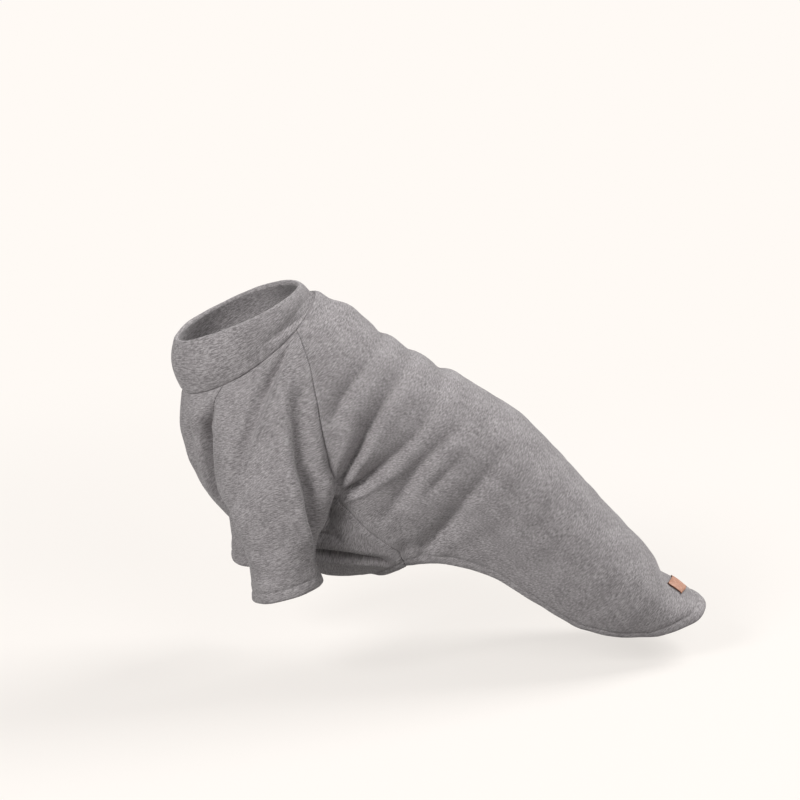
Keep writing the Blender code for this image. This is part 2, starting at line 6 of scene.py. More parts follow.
import bmesh
import bpy
import numpy as np
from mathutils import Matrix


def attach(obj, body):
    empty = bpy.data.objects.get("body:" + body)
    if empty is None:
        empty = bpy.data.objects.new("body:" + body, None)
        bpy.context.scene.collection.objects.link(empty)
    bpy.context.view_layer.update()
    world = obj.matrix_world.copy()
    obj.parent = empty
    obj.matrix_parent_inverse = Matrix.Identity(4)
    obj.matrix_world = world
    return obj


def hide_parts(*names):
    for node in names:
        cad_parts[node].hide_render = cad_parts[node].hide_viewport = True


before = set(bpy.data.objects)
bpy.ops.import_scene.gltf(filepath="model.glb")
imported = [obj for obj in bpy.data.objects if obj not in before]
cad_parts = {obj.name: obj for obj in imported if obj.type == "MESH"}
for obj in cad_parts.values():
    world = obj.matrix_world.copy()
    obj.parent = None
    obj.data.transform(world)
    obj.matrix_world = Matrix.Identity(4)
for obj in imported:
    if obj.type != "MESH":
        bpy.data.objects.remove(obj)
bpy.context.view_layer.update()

rng = np.random.default_rng(7)

# The general form that the cloth is cut for.
form = {
    # highest and lowest point on the centre plane, half width, and how much of it sits high (+)
    "bodyColumns": ("topX", "topZ", "lowX", "lowZ", "halfWidth", "fullness"),
    "body": (
        (0.000, 0.000, -0.092, -0.064, 0.039, 0.00),  # neck seam
        (0.022, -0.006, -0.094, -0.090, 0.047, 0.06),  # withers
        (0.044, -0.022, -0.087, -0.119, 0.052, 0.20),  # shoulder
        (0.066, -0.038, -0.068, -0.150, 0.055, 0.32),  # breast
        (0.092, -0.054, -0.034, -0.181, 0.057, 0.36),  # elbow
        (0.122, -0.072, 0.006, -0.202, 0.059, 0.28),  # ribs
        (0.156, -0.097, 0.062, -0.207, 0.058, 0.16),  # belly hem
        (0.190, -0.135, 0.110, -0.234, 0.060, 0.08),  # loin
        (0.219, -0.168, 0.152, -0.257, 0.060, 0.08),  # rump
        (0.243, -0.195, 0.192, -0.269, 0.055, 0.10),  # seat
        (0.257, -0.215, 0.224, -0.275, 0.047, 0.10),  # tail
        (0.285, -0.234, 0.262, -0.286, 0.036, 0.10),  # tail hem
    ),
    # wide hollows: from one section and turn to another, depth (a ridge's is negative), half width
    "hollows": (
        (3.30, 0.800, 4.40, 0.600, 0.0120, 0.0120),  # the armpit
        (0.15, -0.300, 0.15, 0.300, -0.0045, 0.0100),  # the cloth stands up behind the collar
    ),
    "sectionLength": 0.034,
    "halfGirth": 0.185,
    "turnStep": 0.02,
}

# Seams and hems by section and turn; turn 0 is the centre back and 1 the centre of the belly.
seams = {
    "neckDip": 0.32,
    "neckRear": 0.298,
    "neckFront": 0.660,
    "underarm": (3.84, 0.589),
    "rear": ((0.66, 0.331), (1.24, 0.366), (2.09, 0.423), (2.83, 0.476), (3.39, 0.527),
             (3.72, 0.566), (3.84, 0.589)),
    "front": ((0.64, 0.720), (1.24, 0.767), (1.85, 0.803), (2.50, 0.830), (2.95, 0.808),
              (3.35, 0.745), (3.64, 0.665), (3.84, 0.589)),
    "side": ((3.84, 0.589), (4.08, 0.600), (4.55, 0.614), (5.04, 0.641), (5.32, 0.666),
             (5.50, 0.697), (5.75, 0.764)),
    "backHem": ((5.75, 0.764), (5.84, 0.741), (5.96, 0.715), (6.16, 0.687), (6.46, 0.652),
                (6.80, 0.631), (7.48, 0.622), (8.29, 0.626), (9.10, 0.597), (9.88, 0.536),
                (10.27, 0.461), (10.62, 0.346), (10.81, 0.258), (10.95, 0.118), (11.0, 0.0)),
    "bellyHem": ((5.75, 0.764), (5.73, 0.820), (5.70, 0.880), (5.69, 0.940), (5.69, 1.0)),
}

cloth = {
    "layer": 0.0018,  # one layer of brushed fleece
    "hem": 0.0090,  # the turned-in hems' depth
    "stitchLine": 0.0076,  # the hem's stitches, from its edge
    "seamRoll": 0.0009,  # radius to which the cloth rolls into a seam
    "seamPuff": 0.0003,  # and how it swells beside it
    "puffPlace": (3.2, 2.2),  # where that is and its half width, in radii of the roll
    "allowance": 0.0065,  # the seam allowances inside
    "allowanceDepth": 0.0013,
    "allowanceEdge": 0.0004,  # how softly their edges step down
    "borderReach": 0.0045,  # how far in a border's shared normals tell
    "cornerReach": 0.0065,  # creases run out this near to the underarm's corner
    "unevenness": 0.00045,  # soft lumps all over
    "hemDrop": 0.0012,  # the hems' rounded edges hang this much lower
    "hemDropReach": 0.012,
    "leastThickness": 0.00008,
    "grainSmoothing": 200,  # rounds that share a fold's spare cloth between its rows
}

# a hem's relief in metres: heights, the places of bumps from its edge, and lengths of waves
hemLook = {
    "puff": 0.0003,
    "puffShare": 0.75,  # its half width, as a share of the way to its middle
    "upperPuff": (0.0118, 0.0024),  # its place and half width
    "groove": 0.0007,  # how far the stitches sink in
    "grooveWidth": 0.00085,
    "pull": (0.8, 0.2, 0.006),  # the least of it, what varies, and the wave's length
    "slant": 0.5,  # how far the puckers lean
    "puckers": ((0.00028, 0.0075), (0.00016, 0.0035)),
    "puckerReach": 0.0062,
    "wave": (0.0007, 0.034, 0.020),  # height, length and reach of the edge's waves
    "turnUneven": (0.0003, 0.02),  # the turned-in edge inside, which isn't straight
    "turnEdge": 0.00012,
    "reach": 0.03,
}

# rows of mesh beside a sewn edge and beside a hem's edge
seamRows = (0.0, 0.00018, 0.00042, 0.00075, 0.00115, 0.0017, 0.0025, 0.0037, 0.0052)
hemRows = (0.0125, 0.0110, 0.0100, 0.0094, 0.0090, 0.0087, 0.0083, 0.0079, 0.0075, 0.0071,
           0.0067, 0.0061, 0.0051, 0.0041, 0.0032, 0.0024, 0.0017, 0.0011, 0.0006, 0.00022, 0.0)


def readRows(rows, place):
    # reads a table at fractional row numbers, along a smooth curve through its rows
    rows = np.asarray(rows, float)
    padded = np.vstack([2 * rows[0] - rows[1], rows, 2 * rows[-1] - rows[-2]])
    place = np.clip(np.asarray(place, float), 0.0, len(rows) - 1.0)
    row = np.minimum(place.astype(int), len(rows) - 2)
    part = (place - row)[..., None]
    before, start, end, after = (padded[row + step] for step in range(4))
    return start + 0.5 * part * (end - before + part * (2 * before - 5 * start + 4 * end - after
                                 + part * (3 * (start - end) + after - before)))


def readPlaces(rows, place):
    # reads a table whose first column says where each row stands
    return readRows(rows, np.interp(place, [row[0] for row in rows], range(len(rows))))


def readAt(place, places, values):
    # a line's points, read at places along it
    return np.stack([np.interp(place, places, values[:, axis]) for axis in range(values.shape[-1])], -1)


def lengthAlong(line):
    return np.concatenate([[0], np.cumsum(np.linalg.norm(np.diff(line, axis=0), axis=1))])


def unit(vectors):
    return vectors / np.maximum(np.linalg.norm(vectors, axis=-1, keepdims=True), 1e-12)


def bell(distance, halfWidth):
    return np.exp(-(distance / halfWidth) ** 2)


def tubePoint(section, turn):
    row = dict(zip(form["bodyColumns"], np.moveaxis(readRows(form["body"], section), -1, 0)))
    angle = np.pi * np.asarray(turn, float)
    lift = np.cos(angle)
    x = (row["topX"] + row["lowX"] + (row["topX"] - row["lowX"]) * lift) / 2
    z = (row["topZ"] + row["lowZ"] + (row["topZ"] - row["lowZ"]) * lift) / 2
    y = -row["halfWidth"] * np.sin(angle) * (1 + row["fullness"] * lift)
    return np.stack([x, y, z], -1)


def outward(surface, section, turn):
    step = form["turnStep"]
    along = surface(section + step, turn) - surface(section - step, turn)
    roundIt = surface(section, turn + step) - surface(section, turn - step)
    return unit(np.cross(roundIt, along))


def bodyPoint(section, turn):
    # the tube with its wide hollows, the same on both sides
    section, turn = np.broadcast_arrays(np.asarray(section, float), np.asarray(turn, float))
    sideTurn = 1 - np.abs(1 - np.abs(turn))
    height = np.zeros_like(section)
    for startSection, startTurn, endSection, endTurn, depth, halfWidth in form["hollows"]:
        run = np.array([(endSection - startSection) * form["sectionLength"],
                        (endTurn - startTurn) * form["halfGirth"]])
        offSection = (section - startSection) * form["sectionLength"]
        offTurn = (sideTurn - startTurn) * form["halfGirth"]
        along = np.clip((offSection * run[0] + offTurn * run[1]) / (run @ run), 0, 1)
        across = (offTurn * run[0] - offSection * run[1]) / math.hypot(*run)
        height -= depth * 4 * along * (1 - along) * bell(across, halfWidth)
    return tubePoint(section, turn) + height[..., None] * outward(tubePoint, section, turn)


# Section, turn, depth and half width at points along each crease.
bodyCreases = {
    "underarmToWithers": (
        (3.94, 0.604, 0.0040, 0.0022), (3.80, 0.550, 0.0104, 0.0024), (3.66, 0.498, 0.0120, 0.0027),
        (3.55, 0.450, 0.0122, 0.0031), (3.40, 0.400, 0.0112, 0.0039), (3.31, 0.354, 0.0090, 0.0048),
        (3.19, 0.290, 0.0064, 0.0054), (3.13, 0.224, 0.0042, 0.0056), (3.11, 0.114, 0.0030, 0.0062),
        (3.14, 0.020, 0.0026, 0.0064), (3.08, -0.080, 0.0000, 0.0064)),
    "underarmUpRibs": (
        (3.96, 0.614, 0.0040, 0.0024), (4.00, 0.556, 0.0106, 0.0028), (4.05, 0.514, 0.0112, 0.0033),
        (4.06, 0.470, 0.0100, 0.0042), (4.08, 0.425, 0.0078, 0.0056), (4.11, 0.374, 0.0056, 0.0062),
        (4.12, 0.322, 0.0040, 0.0066), (4.10, 0.260, 0.0028, 0.0068), (4.02, 0.130, 0.0024, 0.0066),
        (3.96, 0.010, 0.0024, 0.0066), (3.98, -0.100, 0.0000, 0.0066)),
    "ribs": (
        (4.86, 0.600, 0.0000, 0.0066), (4.78, 0.540, 0.0040, 0.0070), (4.70, 0.472, 0.0066, 0.0070),
        (4.62, 0.424, 0.0068, 0.0068), (4.60, 0.382, 0.0060, 0.0066), (4.62, 0.315, 0.0036, 0.0068),
        (4.72, 0.242, 0.0024, 0.0068), (4.88, 0.160, 0.0000, 0.0070)),
    "ribsShort": (
        (5.04, 0.490, 0.0000, 0.0046), (5.03, 0.445, 0.0026, 0.0048), (5.05, 0.400, 0.0032, 0.0048),
        (5.05, 0.350, 0.0018, 0.0052), (5.06, 0.290, 0.0000, 0.0054)),
    "loin": (
        (5.80, 0.716, 0.0000, 0.0046), (5.74, 0.650, 0.0056, 0.0056), (5.70, 0.590, 0.0068, 0.0062),
        (5.68, 0.522, 0.0072, 0.0066), (5.65, 0.454, 0.0058, 0.0068), (5.63, 0.392, 0.0042, 0.0070),
        (5.60, 0.326, 0.0026, 0.0074), (5.62, 0.220, 0.0000, 0.0076)),
    "besideRearSeam": (
        (2.74, 0.440, 0.0000, 0.0042), (2.61, 0.405, 0.0046, 0.0046), (2.46, 0.362, 0.0058, 0.0050),
        (2.35, 0.306, 0.0050, 0.0054), (2.27, 0.218, 0.0024, 0.0058), (2.28, 0.100, 0.0024, 0.0056),
        (2.26, 0.000, 0.0026, 0.0056), (2.30, -0.110, 0.0000, 0.0056)),
    "underWithers": (
        (2.66, 0.330, 0.0000, 0.0034), (2.62, 0.290, 0.0012, 0.0036), (2.56, 0.250, 0.0012, 0.0038),
        (2.50, 0.200, 0.0000, 0.0040)),
    "dimpleOverSideSeam": (
        (4.62, 0.500, 0.0000, 0.0070), (4.90, 0.545, 0.0024, 0.0072), (5.22, 0.602, 0.0034, 0.0064),
        (5.50, 0.668, 0.0030, 0.0050), (5.68, 0.715, 0.0000, 0.0046)),
    "flank": (
        (5.95, 0.640, 0.0000, 0.0070), (5.86, 0.571, 0.0016, 0.0070), (5.85, 0.512, 0.0020, 0.0070),
        (5.92, 0.455, 0.0014, 0.0076), (5.98, 0.380, 0.0000, 0.0076)),
    "upperRibs": (
        (4.74, 0.240, 0.0000, 0.0080), (4.96, 0.236, 0.0014, 0.0080), (5.24, 0.262, 0.0015, 0.0090),
        (5.60, 0.330, 0.0000, 0.0090)),
    "rump": (
        (7.60, 0.560, 0.0000, 0.0100), (7.30, 0.500, 0.0014, 0.0110), (7.12, 0.420, 0.0014, 0.0110),
        (7.05, 0.330, 0.0000, 0.0110)),
    "tail": (
        (9.90, 0.300, 0.0000, 0.0070), (9.93, 0.160, 0.0012, 0.0070), (9.86, 0.030, 0.0022, 0.0070),
        (9.90, -0.130, 0.0012, 0.0070), (9.95, -0.260, 0.0000, 0.0070)),
    "belly": (
        (4.20, 0.900, 0.0000, 0.0034), (4.50, 0.812, 0.0060, 0.0034), (4.80, 0.766, 0.0084, 0.0032),
        (5.10, 0.744, 0.0076, 0.0030), (5.35, 0.742, 0.0048, 0.0027), (5.60, 0.768, 0.0000, 0.0024)),
    "underSleeve": (
        (4.02, 0.800, 0.0060, 0.0040), (4.22, 0.738, 0.0060, 0.0032), (4.45, 0.704, 0.0030, 0.0028),
        (4.66, 0.690, 0.0000, 0.0026)),
    "armpitFold": (
        (3.98, 0.640, 0.0000, 0.0036), (4.15, 0.664, 0.0028, 0.0040), (4.32, 0.712, 0.0030, 0.0044),
        (4.45, 0.770, 0.0000, 0.0044)),
    "besideFrontSeam": (
        (3.20, 0.790, 0.0000, 0.0028), (2.98, 0.818, 0.0070, 0.0029), (2.72, 0.836, 0.0120, 0.0030),
        (2.40, 0.830, 0.0144, 0.0031), (2.04, 0.812, 0.0150, 0.0031), (1.66, 0.798, 0.0142, 0.0030),
        (1.18, 0.780, 0.0112, 0.0028), (0.88, 0.746, 0.0056, 0.0025), (0.66, 0.722, 0.0018, 0.0024),
        (0.50, 0.704, 0.0000, 0.0024)),
    "throat": (
        (0.55, 0.870, 0.0000, 0.0070), (1.10, 0.880, 0.0018, 0.0075), (1.80, 0.900, 0.0018, 0.0080),
        (2.60, 0.950, 0.0000, 0.0090)),
}
# how round a crease's bottom is, how much wider its first side is, and the lips beside it
creaseShape = {"steps": 34, "tip": 0.22, "tail": 0.30, "lean": 0.30, "lip": 0.13, "lipAt": 2.4,
               "lipWidth": 1.1, "reach": 5.0}
# how far the right side's creases differ, and the steps that make each differ in its own way;
# they don't move below the turn "fixedTurn", where the seams are
rightSide = {"sectionShift": 0.10, "turnShare": 0.06, "depthShare": 0.22, "leanStep": 1.7,
             "leanStart": 0.6, "depthStep": 2.3, "fixedTurn": 0.62, "fadeTurn": 0.3}


def traceCrease(rows, surface, hand=1):
    fine = readRows(rows, np.linspace(0, len(rows) - 1, creaseShape["steps"]))
    return surface(fine[:, 0], fine[:, 1]), fine[:, 2], fine[:, 3], hand


def pressCrease(points, normals, crease):
    # how far a crease moves points in: a gentle slope, a narrow bottom and a steeper slope
    line, depths, widths, hand = crease
    reach = creaseShape["reach"] * widths.max()
    inReach = np.all((points > line.min(axis=0) - reach) & (points < line.max(axis=0) + reach), axis=-1)
    height = np.zeros(points.shape[:-1])
    points, normals = points[inReach], normals[inReach]
    nearest = np.full(len(points), np.inf)
    depth, width, side = np.zeros_like(nearest), np.ones_like(nearest), np.ones_like(nearest)
    for step in range(len(line) - 1):
        run = line[step + 1] - line[step]
        offset = points - line[step]
        along = np.clip(offset @ run / (run @ run), 0, 1)
        gap = np.linalg.norm(offset - along[..., None] * run, axis=-1)
        nearer = gap < nearest
        nearest = np.where(nearer, gap, nearest)
        depth = np.where(nearer, depths[step] * (1 - along) + depths[step + 1] * along, depth)
        width = np.where(nearer, widths[step] * (1 - along) + widths[step + 1] * along, width)
        turned = np.sum(np.cross(run, offset) * normals, axis=-1) / np.linalg.norm(run)
        side = np.where(nearer, hand * turned / width, side)
    width = width * (1 + creaseShape["lean"] * np.tanh(side))
    tip = creaseShape["tip"]
    across = np.hypot(nearest / width, tip) - tip
    lip = creaseShape["lip"] * bell(across - creaseShape["lipAt"], creaseShape["lipWidth"])
    height[inReach] = -depth * (np.exp(-across * (1 + creaseShape["tail"] * across)) - lip)
    return height


def rightCreases():
    # similar creases on the right side, none quite the same
    rows = []
    for index, crease in enumerate(bodyCreases.values()):
        lean = math.sin(rightSide["leanStep"] * index + rightSide["leanStart"])
        table = np.array(crease, float)
        free = np.clip((rightSide["fixedTurn"] - table[:, 1]) / rightSide["fadeTurn"], 0, 1)
        table[:, 0] += rightSide["sectionShift"] * lean * free
        table[:, 1] = -table[:, 1] * (1 + rightSide["turnShare"] * lean * free)
        table[:, 2] *= 1 - rightSide["depthShare"] * math.cos(rightSide["depthStep"] * index)
        rows.append(table)
    return rows


lumps = {"count": 26, "shortest": 0.016, "longest": 0.060}
lumpWaves = [(unit(rng.normal(size=3)) * 2 * math.pi / rng.uniform(lumps["shortest"], lumps["longest"]),
              rng.uniform(0, 2 * math.pi)) for wave in range(lumps["count"])]


def lumpHeight(points):
    height = sum(np.sin(points @ wave + phase) for wave, phase in lumpWaves)
    return cloth["unevenness"] * height / math.sqrt(lumps["count"] / 2)


allCreases = [traceCrease(rows, bodyPoint) for rows in bodyCreases.values()]
allCreases += [traceCrease(rows, bodyPoint, -1) for rows in rightCreases()]


def pressCreases(points, normals, creases):
    # where creases cross, the deeper one tells and they don't add up
    down, up = 0.0, 0.0
    for crease in creases:
        height = pressCrease(points, normals, crease)
        down = down + np.maximum(-height, 0) ** 3
        up = up + np.maximum(height, 0) ** 3
    return np.cbrt(up) - np.cbrt(down)


def bodyHeight(points, normals):
    # the creases run out just before the underarm, where four seams meet
    corner = bodyPoint(*seams["underarm"])
    free = 1.0
    for side in (1, -1):
        away = np.linalg.norm(points - corner * (1, side, 1), axis=-1)
        free = free * (1 - bell(away, cloth["cornerReach"]))
    return lumpHeight(points) + free * pressCreases(points, normals, allCreases)


# How a piece of cloth is laid over the form.
laying = {"fine": 420, "raglanRows": 88, "sideRows": 108, "crowd": 0.35, "sideCrowd": 0.60,
          "splitDown": 0.64}  # how far down a panel the underarm is


def gridNormals(points, closed=False):
    if closed:
        around = np.concatenate([points[:, -2:-1], points, points[:, 1:2]], axis=1)
        across = around[:, 2:] - around[:, :-2]
    else:
        across = np.gradient(points, axis=1)
    return unit(np.cross(across, np.gradient(points, axis=0)))


def spread(total, count, start=(0.0,), end=(0.0,), crowd=0.0):
    # places along a length: at set distances from its two ends and even between them,
    # or crowded towards its start (crowd above 0) or its end (below 0)
    share = np.linspace(0, 1, count)[1:-1]
    share = share ** (1 + crowd) if crowd >= 0 else 1 - (1 - share) ** (1 - crowd)
    inner = start[-1] + share * (total - end[0] - start[-1])
    return np.concatenate([start, inner, total - np.array(end)])


def respace(grid, count, start=(0.0,), end=(0.0,), crowd=0.0):
    # moves a grid's columns to even places along each row; the first three channels are x, y, z.
    # returns the new grid and the distances along each row from both its ends
    step = np.linalg.norm(np.diff(grid[..., :3], axis=1), axis=-1)
    length = np.concatenate([np.zeros((len(grid), 1)), np.cumsum(step, axis=1)], axis=1)
    rows, near = [], []
    for line, reach in zip(grid, length):
        wanted = spread(reach[-1], count, start, end, crowd)
        rows.append(readAt(wanted, reach, line))
        near.append(wanted)
    near = np.array(near)
    return np.array(rows), near, length[:, -1:] - near


def layGrid(fine, splitRow, columns, startEdge, endEdge, upperRows, lowerRows, hemEdge,
            lowerCrowd=0.0):
    # a piece's final grid: columns even across, rows even above and below the underarm
    across, nearLeft, nearRight = respace(fine, columns, startEdge, endEdge)
    across = np.concatenate([across, nearLeft[..., None], nearRight[..., None]], -1)
    turned = np.swapaxes(across, 0, 1)
    upper, down, _ = respace(turned[:, :splitRow + 1], upperRows, seamRows, (0.0,), -laying["crowd"])
    lower, below, toHem = respace(turned[:, splitRow:], lowerRows, (0.0,), hemEdge, lowerCrowd)
    grid = np.swapaxes(np.concatenate([upper, lower[:, 1:]], axis=1), 0, 1)
    down = np.concatenate([down, down[:, -1:] + below[:, 1:]], axis=1).T
    toHem = np.concatenate([toHem[:, :1] + down.T[:, upper.shape[1] - 1:upper.shape[1]]
                            - down.T[:, :upper.shape[1]], toHem[:, 1:]], axis=1).T
    return {"points": grid[..., :3], "extra": grid[..., 3:-2], "left": grid[..., -2],
            "right": grid[..., -1], "down": down, "hem": toHem,
            "splitRow": upper.shape[1] - 1}


def seamDip(distance):
    # the cloth rolls down into a seam, and puffs up beside it
    roll, reach = cloth["seamRoll"], np.clip(distance, 0, cloth["seamRoll"])
    middle, width = cloth["puffPlace"]
    puff = cloth["seamPuff"] * bell(distance - middle * roll, width * roll)
    return roll - np.sqrt(np.maximum(roll ** 2 - (roll - reach) ** 2, 0)) - puff


def softStep(value, middle, width):
    return 1 / (1 + np.exp(-np.clip((value - middle) / width, -40, 40)))


wandering = {"numbers": 400, "start": 180}


def wander(along, wave, seed):
    # a smooth irregular line between -1 and 1, with bumps about one wave long
    count = wandering["numbers"]
    numbers = np.random.default_rng(seed).uniform(-1, 1, count)
    place = np.asarray(along) / wave * 2 + wandering["start"]
    low = np.floor(place).astype(int)
    part = place - low
    part = part * part * (3 - 2 * part)
    return numbers[low % count] * (1 - part) + numbers[(low + 1) % count] * part


def hemShape(toHem, along, seed):
    # a hem's outer face: a rounded fold, a puffed edge, the sunk stitches and their puckers
    half = cloth["layer"]
    fold = half - np.sqrt(np.maximum(half ** 2 - (half - np.clip(toHem, 0, half)) ** 2, 0))
    middle = cloth["stitchLine"] / 2
    toStitches = toHem - cloth["stitchLine"]
    upper, upperWidth = hemLook["upperPuff"]
    puff = hemLook["puff"] * bell(toHem - middle, middle * hemLook["puffShare"])
    puff = puff + hemLook["puff"] * bell(toHem - upper, upperWidth)
    least, varying, length = hemLook["pull"]
    pull = least + varying * wander(along, length, seed)
    groove = hemLook["groove"] * pull * bell(toStitches, hemLook["grooveWidth"])
    slant = along + hemLook["slant"] * toHem
    first, second = (height * wander(slant, length, seed + 1 + index)
                     for index, (height, length) in enumerate(hemLook["puckers"]))
    pucker = first + second
    height, length, reach = hemLook["wave"]
    wave = height * wander(along, length, seed + 3) * bell(toHem, reach)
    return puff - fold - groove + pucker * bell(toStitches, hemLook["puckerReach"]) + wave, fold


def shellHeights(lay, hemAlong, seed):
    # heights of the outer and the inner face over the piece's own surface
    near = np.minimum.reduce([lay[name] for name in ("left", "right", "down")])
    outer = -seamDip(near)
    inner = np.full_like(near, -cloth["layer"])
    inner -= cloth["allowanceDepth"] * (1 - softStep(near, cloth["allowance"], cloth["allowanceEdge"]))
    hemOuter, fold = hemShape(lay["hem"], hemAlong, seed)
    uneven, wave = hemLook["turnUneven"]
    edge = cloth["hem"] + uneven * wander(hemAlong, wave, seed + 5)
    turned = 1 - softStep(lay["hem"], edge, hemLook["turnEdge"])
    inner = inner * (1 - turned) + (-2 * cloth["layer"] + fold) * turned
    outer = np.where(lay["hem"] < hemLook["reach"], np.minimum(outer, 0) + hemOuter, outer)
    return outer, np.minimum(inner, outer - cloth["leastThickness"])


def borderNormals(own, borders):
    # turns a grid's normals to those that its border shares with its neighbours
    normals = own.copy()
    for distance, shared in borders:
        share = bell(distance, cloth["borderReach"])[..., None]
        normals += share * (shared - own)
    return unit(normals)


def gridPlace(vert, rows, columns):
    # the row and column of a vertex in a grid one metre wide
    return round((vert.co.y + 0.5) * rows), round((vert.co.x + 0.5) * columns)


def sewCloth(name, outer, inner, across, down, tubeFrom=None):
    # a closed shell between two faces, with its cut laid out in metres as the UV map
    rows, columns = outer.shape[0] - 1, outer.shape[1] - 1
    mesh = bmesh.new()
    cut = mesh.loops.layers.uv.new("cut")
    bmesh.ops.create_grid(mesh, x_segments=columns, y_segments=rows, size=0.5, calc_uvs=True)
    place = mesh.verts.layers.int.new("place")
    flatOuter, flatInner = outer.reshape(-1, 3), inner.reshape(-1, 3)
    ends = {}
    for vert in mesh.verts:
        row, column = gridPlace(vert, rows, columns)
        number = row * (columns + 1) + column
        vert[place] = number
        vert.co = flatOuter[number]
        if tubeFrom is not None and row >= tubeFrom and column in (0, columns):
            ends[row, column] = vert
    flat = np.stack([across.ravel(), down.ravel()], -1)
    for face in mesh.faces:
        for loop in face.loops:
            loop[cut].uv = flat[loop.vert[place]]
    if tubeFrom is not None:
        pairs = {ends[row, columns]: ends[row, 0] for row in range(tubeFrom, rows + 1)}
        bmesh.ops.weld_verts(mesh, targetmap=pairs)
    layer = bmesh.ops.extrude_face_region(mesh, geom=mesh.faces[:])
    inside = [item for item in layer["geom"] if isinstance(item, bmesh.types.BMFace)]
    for vert in (item for item in layer["geom"] if isinstance(item, bmesh.types.BMVert)):
        vert.co = flatInner[vert[place]]
    for face in mesh.faces:
        face.smooth = True
    for face in inside:
        face.material_index = 1
    bmesh.ops.recalc_face_normals(mesh, faces=mesh.faces[:])
    return finishPiece(name, mesh, (fleece, fleeceInside))


def finishPiece(name, mesh, materials):
    data = bpy.data.meshes.new(name)
    mesh.to_mesh(data)
    mesh.free()
    for material in materials:
        data.materials.append(material)
    piece = bpy.data.objects.new(name, data)
    bpy.context.scene.collection.objects.link(piece)
    return piece


fleeceLook = {
    "dark": (0.166, 0.153, 0.155),
    "middle": (0.270, 0.251, 0.254),
    "light": (0.403, 0.379, 0.381),
    "streak": (230, 1700),  # streaks of dyed fibre per metre, along and across the courses
    "nap": 760,
    "cloud": 55,
    "bump": 0.00035,
    "outside": (0.60, 0.28, 0.12),  # shares of the streaks, the nap and the clouds
    "inside": (0.25, 0.55, 0.20),
}
leatherLook = {
    "skin": (0.370, 0.160, 0.090),
    "worn": (0.480, 0.240, 0.150),
    # painted shade: the label's side faces take this near-black tone, which stands in for the shadow
    # along its thickness
    "cut": (0.060, 0.025, 0.016),
}


class Nodes:
    # short ways to add and join the nodes of a material or of the world
    def __init__(self, owner, shader="Principled BSDF"):
        owner.use_nodes = True
        self.tree = owner.node_tree
        self.shader = self.tree.nodes[shader]

    def fill(self, node, inputs):
        # joins an input to a socket, or sets it to a value
        for name, value in dict(inputs).items():
            if isinstance(value, bpy.types.NodeSocket):
                self.tree.links.new(value, node.inputs[name])
            else:
                node.inputs[name].default_value = value
        return node

    def add(self, kind, inputs=(), **settings):
        node = self.tree.nodes.new(kind)
        for name, value in settings.items():
            setattr(node, name, value)
        return self.fill(node, inputs)

    def ramp(self, factor, stops):
        node = self.add("ShaderNodeValToRGB", {"Fac": factor})
        ramp = node.color_ramp
        while len(ramp.elements) < len(stops):
            ramp.elements.new(0.5)
        for element, (position, colour) in zip(ramp.elements, stops):
            element.position = position
            element.color = (*colour, 1.0) if len(colour) == 3 else colour
        return node.outputs["Color"]

    def math(self, operation, first, second):
        return self.add("ShaderNodeMath", {0: first, 1: second}, operation=operation).outputs[0]

    def mixed(self, *parts):
        # the sum of sockets, each times its share
        total = None
        for socket, share in parts:
            part = self.math("MULTIPLY", socket, share)
            total = part if total is None else self.math("ADD", total, part)
        return total

    def noise(self, vector, scale, detail=3.0, roughness=0.5, distortion=0.0):
        inputs = {"Vector": vector, "Scale": scale, "Detail": detail, "Roughness": roughness,
                  "Distortion": distortion}
        return self.add("ShaderNodeTexNoise", inputs).outputs["Fac"]

    def bump(self, height, strength, distance):
        inputs = {"Height": height, "Strength": strength, "Distance": distance}
        return self.add("ShaderNodeBump", inputs).outputs["Normal"]


def makeFleece(name, inside):
    material = bpy.data.materials.new(name)
    nodes = Nodes(material)
    cut = nodes.add("ShaderNodeUVMap", uv_map="cut").outputs["UV"]
    along, across = fleeceLook["streak"]
    courses = nodes.add("ShaderNodeMapping", {"Vector": cut, "Scale": (along, across, 1)})
    streak = nodes.noise(courses.outputs["Vector"], 1.0, 2.0, 0.55, 0.25)
    nap = nodes.noise(cut, fleeceLook["nap"], 2.0, 0.6, 1.1)
    cloud = nodes.noise(cut, fleeceLook["cloud"], 2.0, 0.5)
    shares = fleeceLook["inside" if inside else "outside"]
    mixed = nodes.mixed(*zip((streak, nap, cloud), shares))
    colour = nodes.ramp(mixed, ((0.40, fleeceLook["dark"]), (0.50, fleeceLook["middle"]),
                                (0.60, fleeceLook["light"])))
    fuzz = nodes.noise(cut, fleeceLook["nap"] * 1.9, 3.0, 0.65, 0.8)
    relief = nodes.mixed((nap, 0.65), (fuzz, 0.35), (streak, 0.35))
    bump = nodes.bump(relief, 1.0, fleeceLook["bump"] * (2 if inside else 1))
    nodes.fill(nodes.shader, {
        "Base Color": colour, "Normal": bump, "Roughness": 0.95, "Specular IOR Level": 0.15,
        "Sheen Weight": 0.22, "Sheen Roughness": 0.55, "Sheen Tint": (0.9, 0.88, 0.88, 1.0)})
    return material


def makeThread():
    material = bpy.data.materials.new("greyThread")
    nodes = Nodes(material)
    place = nodes.add("ShaderNodeTexCoord").outputs["Object"]
    twist = nodes.noise(place, 2600, 2.0, 0.5)
    colour = nodes.ramp(twist, ((0.35, (0.20, 0.19, 0.19)), (0.65, (0.33, 0.315, 0.315))))
    nodes.fill(nodes.shader, {"Base Color": colour, "Roughness": 0.6})
    return material


